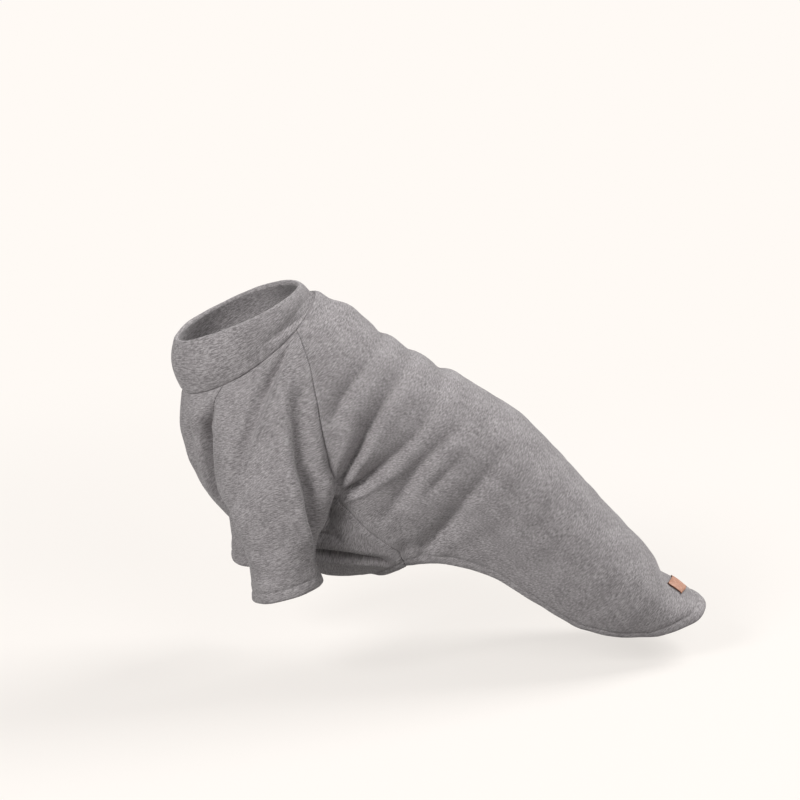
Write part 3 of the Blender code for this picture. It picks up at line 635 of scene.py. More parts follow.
def makeLeather(name, paintedEdgeShade):
    material = bpy.data.materials.new(name)
    nodes = Nodes(material)
    place = nodes.add("ShaderNodeTexCoord").outputs["Object"]
    mottle = nodes.noise(place, 420, 3.0, 0.6, 0.4)
    pores = nodes.add("ShaderNodeTexVoronoi", {"Vector": place, "Scale": 1900}).outputs["Distance"]
    # the edge material paints shade: its near-black tones stand in for the shadow along the patch's
    # thickness
    if paintedEdgeShade:
        tones = ((0.35, leatherLook["cut"]), (0.65, tuple(2 * part for part in leatherLook["cut"])))
    else:
        tones = ((0.30, tuple(0.72 * part for part in leatherLook["skin"])),
                 (0.50, leatherLook["skin"]), (0.72, leatherLook["worn"]))
    relief = nodes.math("ADD", pores, nodes.math("MULTIPLY", mottle, 0.6))
    rough = nodes.ramp(mottle, ((0.3, (0.62,) * 3), (0.7, (0.44,) * 3)))
    nodes.fill(nodes.shader, {"Base Color": nodes.ramp(mottle, tones), "Roughness": rough,
                              "Normal": nodes.bump(relief, 0.6, 0.00015)})
    return material


fleece = makeFleece("greyMelangeFleece", False)
fleeceInside = makeFleece("brushedInside", True)
thread = makeThread()
leather = makeLeather("tanLeather", False)
# the label's side faces, painted near black as shade
leatherEdgeShade = makeLeather("tanLeatherEdgeShade", True)
print("materials made")

collar = {
    "rimCentre": (-0.0530, -0.0088),  # its top edge, an ellipse
    "rimHalfLength": (0.0450, 0.0188),
    "rimHalfWidth": 0.0400,
    "bulge": 0.0050,
    "cloth": 0.0038,  # two layers
    "columns": 300,
    "rows": 34,
    "foldSteps": 12,
    "fineHeights": 200,
    "normalRange": (0.02, 0.98),  # heights between which its normals are measured
    "seamBlend": 0.006,  # how far up the neck seam's own lumps reach
    "creaseEnd": 0.0012,
    "lumps": (0.8, 0.9, 0.3),  # their height, and the size and start of their pattern
    "innerShare": 0.3,  # how much of its relief shows inside
    "flat": (0.270, 0.034),
    # turn, height, depth and half width
    "creases": (
        ((0.49, 0.40, 0.0000, 0.0034), (0.40, 0.33, 0.0020, 0.0034), (0.30, 0.30, 0.0034, 0.0034),
         (0.20, 0.31, 0.0036, 0.0032), (0.10, 0.36, 0.0024, 0.0030), (0.00, 0.46, 0.0000, 0.0030)),
        ((0.34, 0.10, 0.0000, 0.0024), (0.25, 0.08, 0.0018, 0.0024), (0.15, 0.07, 0.0030, 0.0026),
         (0.05, 0.07, 0.0030, 0.0026), (-0.08, 0.07, 0.0022, 0.0026), (-0.22, 0.09, 0.0000, 0.0024)),
        ((-0.12, 0.75, 0.0000, 0.0025), (-0.20, 0.50, 0.0012, 0.0030), (-0.28, 0.34, 0.0014, 0.0034),
         (-0.38, 0.24, 0.0000, 0.0040)),
        ((0.44, 0.90, 0.0000, 0.0060), (0.47, 0.60, 0.0011, 0.0070), (0.48, 0.30, 0.0009, 0.0070),
         (0.50, 0.05, 0.0000, 0.0070)),
        ((0.84, 0.95, 0.0000, 0.0060), (0.83, 0.60, 0.0007, 0.0070), (0.80, 0.30, 0.0006, 0.0070),
         (0.80, 0.05, 0.0000, 0.0070)),
        ((-0.60, 0.95, 0.0000, 0.0060), (-0.62, 0.60, 0.0009, 0.0070), (-0.60, 0.25, 0.0006, 0.0070),
         (-0.58, 0.05, 0.0000, 0.0070)),
    ),
}


def neckSection(turn):
    return seams["neckDip"] * np.sin(np.pi * np.asarray(turn, float)) ** 2


def collarPoint(turn, height):
    # the collar's outer face, from the neck seam (0) to its top edge (1)
    angle, height = np.pi * turn, np.asarray(height, float)[..., None]
    lift = np.cos(angle)
    rim = np.stack([collar["rimCentre"][0] + collar["rimHalfLength"][0] * lift,
                    -collar["rimHalfWidth"] * np.sin(angle),
                    collar["rimCentre"][1] + collar["rimHalfLength"][1] * lift], -1)
    seam = bodyPoint(neckSection(turn), turn)
    straight = seam * (1 - height) + rim * height
    seamCentre = (tubePoint(0.0, 0.0) + tubePoint(0.0, 1.0)) / 2
    rimCentre = np.array([collar["rimCentre"][0], 0.0, collar["rimCentre"][1]])
    away = unit(straight - seamCentre * (1 - height) - rimCentre * height)
    throat = ((1 - lift) / 2)[..., None]
    return straight + away * throat * collar["bulge"] * np.sin(np.pi * height)


def collarNormals(turn, height):
    step = form["turnStep"]
    up = collarPoint(turn, height + step) - collarPoint(turn, height - step)
    along = collarPoint(turn + step, height) - collarPoint(turn - step, height)
    return unit(np.cross(up, along))


def neckNormals(turn):
    low = np.full_like(turn, form["turnStep"])
    below = neckSection(turn) + 2 * form["turnStep"]
    return unit(collarNormals(turn, low) + outward(bodyPoint, below, turn))


def neckHeight(turn):
    # the creases and lumps at the neck seam, which the collar shares
    section = neckSection(turn)
    return bodyHeight(bodyPoint(section, turn), outward(bodyPoint, section, turn))


def makeCollar():
    columns = collar["columns"]
    fineTurn = np.linspace(0, 2, 4 * columns + 1)
    seam = bodyPoint(neckSection(fineTurn), fineTurn)
    length = lengthAlong(seam)
    turns = np.interp(np.linspace(0, length[-1], columns + 1), length, fineTurn)
    signed = np.where(turns > 1, turns - 2, turns)
    heights = np.linspace(0, 1, collar["fineHeights"])
    fine = collarPoint(np.repeat(turns[None], len(heights), 0),
                       np.repeat(heights[:, None], columns + 1, 1))
    fine = np.concatenate([fine, np.broadcast_to(heights[:, None, None], fine[..., :1].shape)], -1)
    up, nearSeam, _ = respace(np.swapaxes(fine, 0, 1), collar["rows"], seamRows, (0.0,))
    points, level = np.swapaxes(up[..., :3], 0, 1), np.swapaxes(up[..., 3], 0, 1)
    nearSeam = nearSeam.T
    turn = np.repeat(turns[None], len(points), 0)
    own = collarNormals(turn, np.clip(level, *collar["normalRange"]))
    shared = np.broadcast_to(neckNormals(turns), own.shape)
    normals = borderNormals(own, ((nearSeam, shared),))
    atSeam = bell(nearSeam, collar["seamBlend"])
    share, scale, start = collar["lumps"]
    height = neckHeight(signed)[None] * atSeam - seamDip(nearSeam)
    height += share * lumpHeight(points * scale + start) * (1 - atSeam)
    for rows in collar["creases"]:
        line = traceCrease(rows, collarPoint)
        height += pressCrease(points, normals, line) * (1 - bell(nearSeam, collar["creaseEnd"]))
    outer = points + normals * height[..., None]
    innerDepth = collar["cloth"] + height * collar["innerShare"]
    inner = points - normals * innerDepth[..., None]
    middle = (outer[-1] + inner[-1]) / 2
    out = (outer[-1] - inner[-1]) / 2
    upwards = unit(outer[-1] - outer[-3]) * np.linalg.norm(out, axis=-1, keepdims=True)
    bends = np.linspace(0, math.pi, collar["foldSteps"] + 1)[1:-1]
    fold = np.array([middle + out * math.cos(bend) + upwards * math.sin(bend) for bend in bends])
    profile = np.concatenate([outer, fold, inner[::-1]], axis=0)
    profile[:, -1] = profile[:, 0]
    ring = np.concatenate([profile, profile[:1]], axis=0)
    rows = len(ring) - 1
    mesh = bmesh.new()
    cut = mesh.loops.layers.uv.new("cut")
    bmesh.ops.create_grid(mesh, x_segments=columns, y_segments=rows, size=0.5, calc_uvs=True)
    around = np.interp(turns, fineTurn, length)
    climb = np.concatenate([[0], np.cumsum(np.linalg.norm(np.diff(ring, axis=0), axis=2).mean(axis=1))])
    for face in mesh.faces:
        face.smooth = True
        for loop in face.loops:
            row, column = gridPlace(loop.vert, rows, columns)
            loop[cut].uv = (around[column], climb[row])
    for vert in mesh.verts:
        vert.co = ring[gridPlace(vert, rows, columns)]
    bmesh.ops.remove_doubles(mesh, verts=mesh.verts[:], dist=1e-6)
    bmesh.ops.recalc_face_normals(mesh, faces=mesh.faces[:])
    return finishPiece("folded_collar", mesh, (fleece,))


backPanel = {"columns": 206, "flat": (0.335, 0.385), "area": 0.092, "seed": 11}
chestPanel = {"columns": 118, "flat": (0.185, 0.230), "area": 0.0263, "seed": 31}


def seamPath(path, count):
    # sections and turns at even lengths along a path
    fine = readRows(path, np.linspace(0, len(path) - 1, 400))
    points = bodyPoint(fine[:, 0], fine[:, 1])
    length = lengthAlong(points)
    return readAt(np.linspace(0, length[-1], count), length, fine)


def raglanPaths(count):
    # the seams from the neck to the underarm, behind the sleeve and in front of it
    return [seamPath(((float(neckSection(start)), start),) + path, count)
            for start, path in ((seams["neckRear"], seams["rear"]),
                                (seams["neckFront"], seams["front"]))]


def layPanel(panel, neckTurns, seam, hemPath, farTurn):
    # sections and turns blended between the neck, the hem and the two sides
    half = laying["fine"]
    side = seamPath(seams["side"], half + 1)
    edge = np.concatenate([seam, side[1:]])
    columns = len(neckTurns) - 1
    neck = np.stack([neckSection(neckTurns), neckTurns], -1)
    nearHem = seamPath(hemPath, columns // 2 + 1)
    farHem = np.stack([nearHem[::-1, 0], farTurn - nearHem[::-1, 1]], -1)
    hem = np.concatenate([nearHem, farHem[1:]])
    far = np.stack([edge[:, 0], farTurn - edge[:, 1]], -1)
    splitDown = laying["splitDown"]
    down = np.concatenate([np.linspace(0, splitDown, len(seam)),
                           np.linspace(splitDown, 1, half + 1)[1:]])[:, None, None]
    across = np.linspace(0, 1, columns + 1)[None, :, None]
    corners = (1 - down) * ((1 - across) * neck[0] + across * neck[-1])
    corners = corners + down * ((1 - across) * hem[0] + across * hem[-1])
    place = neck[None] * (1 - down) + hem[None] * down - corners
    place = place + (1 - across) * edge[:, None] + across * far[:, None]
    fine = np.concatenate([bodyPoint(place[..., 0], place[..., 1]), place], -1)
    return layGrid(fine, len(seam) - 1, panel["columns"], seamRows, seamRows[::-1],
                   laying["raglanRows"], laying["sideRows"], hemRows, laying["sideCrowd"])


def shapePanel(lay, sideNormals):
    # the panel with its creases, and normals that meet its neighbours'
    section, turn = lay["extra"][..., 0], lay["extra"][..., 1]
    points = lay["points"]
    own = outward(bodyPoint, section, turn)
    split = lay["splitRow"]
    shared = own.copy()
    shared[:split + 1, :] = sideNormals[:, None]
    mirrored = own.copy()
    mirrored[:split + 1, :] = (sideNormals * (1, -1, 1))[:, None]
    neck = np.broadcast_to(neckNormals(turn[0]), own.shape)
    normals = borderNormals(own, ((lay["left"], shared), (lay["right"], mirrored),
                                  (lay["down"], neck)))
    return points + normals * bodyHeight(points, own)[..., None], normals


def hemRun(points):
    # how far along the hem each column ends, from the middle column
    run = lengthAlong(points[-1])
    return np.broadcast_to(run - run[len(run) // 2], points.shape[:2])


def clothLengths(top, lay):
    # how far along the cloth each point is, from its middle line and from its first row,
    # with the folds' extra cloth shared out smoothly between neighbouring threads
    lengths = []
    for axis, plain in ((1, (lay["left"] - lay["right"]) / 2), (0, lay["down"])):
        steps = np.linalg.norm(np.diff(top, axis=axis), axis=-1)
        plainSteps = np.diff(plain, axis=axis)
        spare = np.moveaxis(steps - plainSteps, axis, 1)
        spare = np.concatenate([np.zeros((len(spare), 1)), spare.cumsum(axis=1)], axis=1)
        if axis == 1:
            spare -= spare[:, spare.shape[1] // 2, None]
        for step in range(cloth["grainSmoothing"]):
            spare[1:-1] = (spare[:-2] + 2 * spare[1:-1] + spare[2:]) / 4
        lengths.append(plain + np.moveaxis(spare, 1, axis))
    return lengths


def dropHem(points, toHem):
    # moves the rows near a hem's edge on along the cloth
    down = unit(np.gradient(points, axis=0))
    return points + down * (cloth["hemDrop"] * bell(toHem, cloth["hemDropReach"]))[..., None]


def clothFaces(lay, points, normals, seed):
    # a piece's outer and inner face
    along = hemRun(points)
    points = dropHem(points, lay["hem"])
    return [points + normals * height[..., None] for height in shellHeights(lay, along, seed)]


def makePanel(name, lay, points, normals, seed):
    top, under = clothFaces(lay, points, normals, seed)
    return sewCloth(name, top, under, *clothLengths(top, lay)), top


sleeve = {
    "loopColumns": ("place", "x", "out", "z", "halfLength", "rise", "halfWidth", "droop"),
    "loops": (
        (0.00, -0.0460, 0.0000, -0.0320, 0.0460, 0.0320, 0.0390, 0.0000),
        (0.25, -0.0360, 0.0120, -0.0620, 0.0445, 0.0325, 0.0460, 0.0000),
        (0.50, -0.0310, 0.0330, -0.0985, 0.0393, 0.0330, 0.0350, -0.0060),
        (0.75, -0.0280, 0.0495, -0.1240, 0.0370, 0.0190, 0.0245, -0.0140),
        (1.00, -0.0252, 0.0555, -0.1450, 0.0328, 0.0145, 0.0205, -0.0110),
        (1.33, -0.0258, 0.0525, -0.1645, 0.0275, 0.0115, 0.0235, -0.0060),
        (1.67, -0.0262, 0.0505, -0.1820, 0.0238, 0.0085, 0.0242, -0.0030),
        (2.00, -0.0235, 0.0500, -0.1983, 0.0253, 0.0069, 0.0250, -0.0030),
    ),
    "columns": 176,
    "underarmRows": 80,
    "neckBlend": 0.4,
    "underarmBlend": 0.5,
    "seamBlend": 3.0,
    "rightStep": 0.005,  # the right cuff stands this much further forward
    "smoothing": 40,  # rounds that soften the turn of the surface below the underarm
    "cornerFade": 0.3,  # places below the underarm over which the seams stop telling
    "fineAcross": 401,
    "frontPuff": 0.0006,  # how far it stands out beside its front seam
    "puffBeside": (0.0042, 0.0026),
    "puffPlace": (0.32, 0.26),
    "freeFrom": {"left": 0.007, "right": 0.006, "down": 0.008},  # where its own relief begins
    "freeBelow": (1.15, 0.04),
    "seamReach": (0.010, 0.0042),  # how far the body's relief reaches past its two seams
    "lumps": (0.9, 1.1),  # their height and the size of their pattern
    "flat": (0.205, 0.215),
    "area": 0.0231,
    # where the cloth laps over itself: place, turn of the loop and depth along the edge,
    # the side that lies under it (1 behind, -1 in front), and how fast it drops and comes back
    "laps": {
        "longFold": {
            "rows": ((0.14, 0.202, 0.0000), (0.22, 0.205, 0.0018), (0.32, 0.210, 0.0050),
                     (0.45, 0.212, 0.0084), (0.60, 0.210, 0.0114), (0.85, 0.198, 0.0144),
                     (1.08, 0.186, 0.0148), (1.40, 0.124, 0.0116), (1.62, 0.086, 0.0070),
                     (1.84, 0.083, 0.0026), (2.00, 0.083, 0.0008)),
            "side": 1, "rise": 0.0013, "run": 0.0170, "lip": 0.10},
        "fromNeck": {
            "rows": ((0.00, 0.136, 0.0000), (0.03, 0.160, 0.0040), (0.06, 0.180, 0.0062),
                     (0.10, 0.208, 0.0072), (0.16, 0.240, 0.0072), (0.21, 0.262, 0.0070),
                     (0.31, 0.302, 0.0066), (0.41, 0.350, 0.0062), (0.52, 0.398, 0.0056),
                     (0.64, 0.446, 0.0048), (0.80, 0.500, 0.0036), (1.00, 0.540, 0.0016),
                     (1.20, 0.556, 0.0000)),
            "side": -1, "rise": 0.0013, "run": 0.0110, "lip": 0.24},
    },
    # place, turn of the loop, depth (a ridge's is negative) and half width
    "creases": {
        "elbowFront": ((1.10, 0.480, 0.0000, 0.0060), (1.22, 0.410, 0.0012, 0.0065),
                       (1.30, 0.340, 0.0008, 0.0070), (1.36, 0.280, 0.0000, 0.0070)),
        "aboveCuff": ((1.60, 0.420, 0.0000, 0.0080), (1.68, 0.330, 0.0007, 0.0080),
                      (1.72, 0.240, 0.0000, 0.0080)),
        "innerHigh": ((1.05, 0.640, 0.0000, 0.0070), (1.15, 0.740, 0.0016, 0.0070),
                      (1.20, 0.860, 0.0014, 0.0070), (1.22, 0.960, 0.0000, 0.0070)),
        "innerLow": ((1.40, 0.600, 0.0000, 0.0080), (1.48, 0.710, 0.0012, 0.0080),
                     (1.56, 0.840, 0.0000, 0.0080)),
        "rear": ((0.55, 0.120, 0.0000, 0.0060), (0.75, 0.110, 0.0008, 0.0060),
                 (0.98, 0.090, 0.0000, 0.0060)),
    },
}


def loopRow(place):
    return dict(zip(sleeve["loopColumns"], np.moveaxis(readPlaces(sleeve["loops"], place), -1, 0)))


def sleeveLoop(place, angle):
    row = loopRow(place)
    rear, out = np.cos(angle), np.sin(angle)
    x = row["x"] + row["halfLength"] * rear
    y = -row["out"] - row["halfWidth"] * out
    z = row["z"] + row["rise"] * rear - row["droop"] * out
    return np.stack([x, y, z], -1)


def seamAngles(place, seam):
    row = loopRow(place)
    rear = (seam[:, 0] - row["x"]) / row["halfLength"]
    out = (-seam[:, 1] - row["out"]) / row["halfWidth"]
    return np.unwrap(np.arctan2(out, rear))


def lapDepth(place, angle, rows, side, rise, run, lip):
    # the cloth laps over its neighbour: it drops at once past its edge, then comes back slowly
    turn, depth = np.moveaxis(readPlaces(rows, place), -1, 0)[1:]
    past = side * (2 * np.pi * turn - angle) * loopRow(place)["halfLength"]
    drop = softStep(past, 0.0, rise) / (1 + (np.maximum(past, 0) / run) ** 4)
    return np.maximum(depth, 0) * (drop - lip * bell(past + run / 4, run / 4))


def layLoops(rear, front):
    # the left sleeve's fine grid, from its rear seam over the arm to its front seam
    upper = len(rear)
    fineRows = laying["fine"]
    place = np.concatenate([np.linspace(0, 1, upper), np.linspace(1, 2, fineRows + 1)[1:]])
    rearSeam, frontSeam = bodyPoint(*rear.T), bodyPoint(*front.T)
    rearAngle = seamAngles(place[:upper], rearSeam)
    frontAngle = seamAngles(place[:upper], frontSeam)
    frontAngle += 2 * np.pi * math.ceil((rearAngle[-1] + 1.0 - frontAngle[-1]) / 2 / np.pi)
    below = len(place) - upper
    rearAngle = np.append(rearAngle, np.full(below, rearAngle[-1]))
    frontAngle = np.append(frontAngle, np.full(below, rearAngle[-1] + 2 * np.pi))
    across = np.linspace(0, 1, sleeve["fineAcross"])
    angle = rearAngle[:, None] * (1 - across) + frontAngle[:, None] * across
    places = np.repeat(place[:, None], len(across), axis=1)
    points = sleeveLoop(places, angle)
    fade = np.clip(1 - (place[upper:] - 1) / sleeve["underarmBlend"], 0, 1) ** 2
    gaps = []
    for seam, column in ((rearSeam, 0), (frontSeam, -1)):
        gap = seam - points[:upper, column]
        gaps.append(np.concatenate([gap, gap[-1:] * fade[:, None]]))
    points += gaps[0][:, None] * ((1 - across) ** sleeve["seamBlend"])[None, :, None]
    points += gaps[1][:, None] * (across ** sleeve["seamBlend"])[None, :, None]
    turns = np.linspace(seams["neckRear"], seams["neckFront"], len(across))
    neckGap = bodyPoint(neckSection(turns), turns) - points[0]
    points += neckGap[None] * (np.clip(1 - place / sleeve["neckBlend"], 0, 1) ** 2)[:, None, None]
    turnsAll = np.repeat(turns[None], len(place), axis=0)
    fine = np.concatenate([points, places[..., None], angle[..., None], turnsAll[..., None]], -1)
    return layGrid(fine, upper - 1, sleeve["columns"], seamRows, seamRows[::-1],
                   laying["raglanRows"], sleeve["underarmRows"], hemRows)


def loopCrease(rows, lay):
    # a crease's line, found on the laid grid by place and turn
    fine = readRows(rows, np.linspace(0, len(rows) - 1, creaseShape["steps"]))
    places, angles = lay["extra"][..., 0], lay["extra"][..., 1]
    line = []
    for place, turn in fine[:, :2]:
        row = np.interp(place, places[:, 0], np.arange(len(places)))
        low = min(int(row), len(places) - 2)
        pair = [readAt(2 * np.pi * turn, angles[near], lay["points"][near])
                for near in (low, low + 1)]
        line.append(pair[0] + (pair[1] - pair[0]) * (row - low))
    return np.array(line), fine[:, 2], fine[:, 3], 1


def shapeSleeve(lay, rear, front, rearNormals, frontNormals, shift, mirror):
    # the sleeve with its relief; the right one takes the seam heights of its own side
    points, split = lay["points"], lay["splitRow"]
    place, angle = lay["extra"][..., 0], lay["extra"][..., 1]
    own = gridNormals(points)
    own[split:] = gridNormals(points[split:], closed=True)
    for step in range(sleeve["smoothing"]):
        own[1:-1] = unit(own[:-2] + 2 * own[1:-1] + own[2:])
    fade = np.clip(1 - (place[:, :1] - 1) / sleeve["cornerFade"], 0, 1) ** 2
    shared = []
    for seam in (rearNormals, frontNormals):
        whole = np.concatenate([seam, np.repeat(seam[-1:], len(points) - len(seam), axis=0)])[:, None]
        shared.append(own + fade[..., None] * (whole - own))
    neck = np.broadcast_to(neckNormals(lay["extra"][0, :, 2]), own.shape)
    normals = borderNormals(own, ((lay["left"], shared[0]), (lay["right"], shared[1]),
                                  (lay["down"], neck)))
    near = {side: bell(lay[side], reach) for side, reach in sleeve["freeFrom"].items()}
    free = (1 - near["left"]) * (1 - near["right"])
    free[split:] = free[split] + (1 - free[split]) * softStep(place[split:], *sleeve["freeBelow"])
    free = free * (1 - near["down"])
    share, scale = sleeve["lumps"]
    height = share * lumpHeight(points * scale + shift)
    height += pressCreases(points, own, [loopCrease(rows, lay) for rows in sleeve["creases"].values()])
    height -= sum(lapDepth(place, angle, **lap) for lap in sleeve["laps"].values())
    height = height * free
    (beside, width), (middle, span) = sleeve["puffBeside"], sleeve["puffPlace"]
    proud = sleeve["frontPuff"] * bell(lay["right"] - beside, width)
    height += proud * bell(place - middle, span)
    atSeams = []
    side = (1, mirror, 1)
    for path, distance, reach in zip((rear, front), (lay["left"], lay["right"]), sleeve["seamReach"]):
        seamHeight = bodyHeight(bodyPoint(*path.T) * side, outward(bodyPoint, *path.T) * side)
        whole = np.concatenate([seamHeight, np.full(len(points) - len(seamHeight), seamHeight[-1])])
        atSeams.append(whole[:, None] * fade * bell(distance, reach))
    height += atSeams[0] + atSeams[1]
    height += neckHeight(mirror * lay["extra"][0, :, 2])[None] * near["down"] * free
    return points + normals * height[..., None], normals


def makeSleeve(name, lay, points, normals, mirror, seed):
    top, under = clothFaces(lay, points, normals, seed)
    side = np.array([1, mirror, 1])
    if mirror < 0:
        lower = np.sqrt(np.clip(lay["extra"][..., :1] - 1, 0, 1))
        step = np.array([-sleeve["rightStep"], 0, 0]) * lower
        top, under = top + step, under + step
    piece = sewCloth(name, top * side, under * side, *clothLengths(top, lay), lay["splitRow"])
    return piece, top * side


stitches = {"pitch": 0.0032, "length": 0.0023, "thickness": 0.00042, "sink": 0.00005, "segments": 6}
label = {
    "length": 0.0125, "width": 0.0240, "thickness": 0.0012, "gap": 0.0003,
    "fromHem": 0.0250,  # to its middle, from the hem's edge
    "left": 0.0095, "lean": math.radians(14),
    "corner": 0.0014, "edge": 0.0006, "edgeShare": 0.22,  # how much lower its edge lies
    "columns": 40, "rows": 22,
}


def makeStitches(name, top, lay, facing):
    # one row of stitches along a hem's stitch line
    row = int(np.argmin(np.abs(lay["hem"][:, lay["hem"].shape[1] // 2] - cloth["stitchLine"])))
    line, normals = top[row], facing * gridNormals(top)[row]
    length = lengthAlong(line)
    count = int(length[-1] / stitches["pitch"])
    mesh = bmesh.new()
    for index in range(count):
        middle = (index + 0.5) * length[-1] / count
        ends = [readAt(middle + side * stitches["length"] / 2, length, line) for side in (-1, 1)]
        up = unit(readAt(middle, length, normals))
        run = unit(ends[1] - ends[0])
        sideways = np.cross(up, run)
        centre = (ends[0] + ends[1]) / 2 + up * (stitches["thickness"] / 2 - stitches["sink"])
        ball = bmesh.ops.create_uvsphere(mesh, u_segments=stitches["segments"],
                                         v_segments=stitches["segments"], radius=0.5)
        half = np.stack([sideways * stitches["thickness"], up * stitches["thickness"],
                         run * np.linalg.norm(ends[1] - ends[0])], -1)
        for vert in ball["verts"]:
            vert.co = centre + half @ np.array(vert.co)
    for face in mesh.faces:
        face.smooth = True
    bmesh.ops.recalc_face_normals(mesh, faces=mesh.faces[:])
    return finishPiece(name, mesh, (thread,))


def makeLabel(top, lay):
    # a leather patch made from the back panel's own surface, moved out
    columns, rows = label["columns"], label["rows"]
    middle = top.shape[1] // 2
    across = (lay["left"] - lay["right"]) / 2
    normals = -gridNormals(top)
    halfWidth, halfLength = label["width"] / 2, label["length"] / 2

    def rounded(x, y):
        # pulls a rectangle's corners in to arcs
        dx = max(abs(x) - halfWidth + label["corner"], 0) / label["corner"]
        dy = max(abs(y) - halfLength + label["corner"], 0) / label["corner"]
        pulledX = dx * math.sqrt(1 - dy * dy / 2) - dx
        pulledY = dy * math.sqrt(1 - dx * dx / 2) - dy
        return (x + math.copysign(pulledX * label["corner"], x),
                y + math.copysign(pulledY * label["corner"], y))

    def onPanel(side, back):
        x = side * math.cos(label["lean"]) + back * math.sin(label["lean"]) - label["left"]
        toHem = label["fromHem"] + back * math.cos(label["lean"]) - side * math.sin(label["lean"])
        row = np.interp(-toHem, -lay["hem"][:, middle], np.arange(len(top)))
        low = int(row)
        part = row - low
        spots = []
        for grid in (top, normals):
            pair = [readAt(x, across[step], grid[step]) for step in (low, low + 1)]
            spots.append(pair[0] * (1 - part) + pair[1] * part)
        return spots[0], unit(spots[1])

    mesh = bmesh.new()
    bmesh.ops.create_grid(mesh, x_segments=columns, y_segments=rows, size=0.5)
    spots = {}
    for vert in mesh.verts:
        x, y = vert.co.x * label["width"], vert.co.y * label["length"]
        inset = min(halfWidth - abs(x), halfLength - abs(y))
        spots[vert.index] = (*onPanel(*rounded(x, y)), inset)
    place = mesh.verts.layers.int.new("place")
    for vert in mesh.verts:
        vert[place] = vert.index
    layer = bmesh.ops.extrude_face_region(mesh, geom=mesh.faces[:])
    under = {item for item in layer["geom"] if isinstance(item, bmesh.types.BMVert)}
    for vert in mesh.verts:
        spot, up, inset = spots[vert[place]]
        dome = label["thickness"] * (1 - label["edgeShare"] * bell(inset, label["edge"]))
        vert.co = spot + up * (label["gap"] + (0 if vert in under else dome))
    bmesh.ops.recalc_face_normals(mesh, faces=mesh.faces[:])
    for face in mesh.faces:
        face.smooth = True
        if len({vert in under for vert in face.verts}) == 2:
            # the side faces get the edge material, whose near-black colour is painted shade
            face.material_index = 1
            face.smooth = False
    return finishPiece("leather_label", mesh, (leather, leatherEdgeShade))


rearPath, frontPath = raglanPaths(laying["fine"] + 1)
neckColumns = 400
backTurns = np.linspace(seams["neckRear"], -seams["neckRear"], neckColumns + 1)
chestTurns = np.linspace(seams["neckFront"], 2 - seams["neckFront"], neckColumns + 1)

backLay = layPanel(backPanel, backTurns, rearPath, seams["backHem"], 0)
chestLay = layPanel(chestPanel, chestTurns, frontPath, seams["bellyHem"], 2)
sleeveLay = layLoops(rearPath, frontPath)
split = sleeveLay["splitRow"]
rearRow = backLay["extra"][:split + 1, 0]
frontRow = chestLay["extra"][:split + 1, 0]
sleeveNormals = gridNormals(sleeveLay["points"])[:split + 1]
rearNormals = unit(sleeveNormals[:, 0] + outward(bodyPoint, *rearRow.T))
frontNormals = unit(sleeveNormals[:, -1] + outward(bodyPoint, *frontRow.T))
rearNormals[0], frontNormals[0] = neckNormals(np.array([seams["neckRear"], seams["neckFront"]]))
rearNormals[-1] = frontNormals[-1] = unit(rearNormals[-1] + frontNormals[-1])
print("cloth laid out")

collarPiece = makeCollar()
print("collar sewn")
backPoints, backNormals = shapePanel(backLay, rearNormals)
back, backTop = makePanel("back_cloth", backLay, backPoints, backNormals, backPanel["seed"])
chestPoints, chestNormals = shapePanel(chestLay, frontNormals)
chest, chestTop = makePanel("chest_cloth", chestLay, chestPoints, chestNormals, chestPanel["seed"])
print("back and chest sewn")
sleevePieces = {}
for name, mirror, shift, seed in (("left_sleeve", 1, 0.11, 51), ("right_sleeve", -1, 0.37, 71)):
    shaped = shapeSleeve(sleeveLay, rearRow, frontRow, rearNormals, frontNormals, shift, mirror)
    sleevePieces[name] = makeSleeve(name, sleeveLay, *shaped, mirror, seed)
print("sleeves sewn")
labelPiece = makeLabel(backTop, backLay)
stitchRows = {
    "back_hem_stitches": (backTop, backLay, -1),
    "belly_hem_stitches": (chestTop, chestLay, 1),
    "left_cuff_stitches": (sleevePieces["left_sleeve"][1], sleeveLay, 1),
    "right_cuff_stitches": (sleevePieces["right_sleeve"][1], sleeveLay, -1),
}
threads = {name: makeStitches(name, *row) for name, row in stitchRows.items()}
print("label and stitches made")

replaced = ((collarPiece, "collar"), (back, "back_panel"), (chest, "chest_panel"),
            (sleevePieces["left_sleeve"][0], "sleeve_left"),
            (sleevePieces["right_sleeve"][0], "sleeve_right"), (labelPiece, "label"))
for piece, node in replaced:
    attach(piece, "root")
    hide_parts(node)
for piece in threads.values():
    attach(piece, "root")

studio = {
    "floor": -0.270,  # the ground the wearer sits on
    "floorSize": 6.0,
    "paper": (1.0, 0.956, 0.913),  # the pale floor and backdrop
    "bounced": (0.33, 0.325, 0.32, 1),  # the floor's colour in the light it throws back
    "azimuth": math.radians(-8),
    "elevation": math.radians(15),
    "distance": 2.4,
    "field": 0.560,  # width seen at that distance
    "sensor": 36.0,
    "aimRight": 0.0609,
    "aimUp": -0.0721,
    "middle": (0.07, 0.0),  # the garment's middle, seen from above
    "lampTarget": -0.12,  # the height that the lamps point at
    "worldLight": 0.12,
    "lamps": {  # place, size and power
        "keyLight": ((-1.39, -1.23, 0.98), 0.8, 36.5),
        "fillLight": ((0.54, -1.74, 1.14), 1.0, 13.0),
        "backLight": ((1.50, 0.62, 1.40), 1.2, 50.0),
    },
    "shadowShare": 0.30,  # how much of the floor's paleness a shadow can take
    "floorLight": 1.25,  # the light on the open floor, which comes out as paper
    "shadowReach": (0.35, 0.85),  # metres over which the floor's shading runs out
}


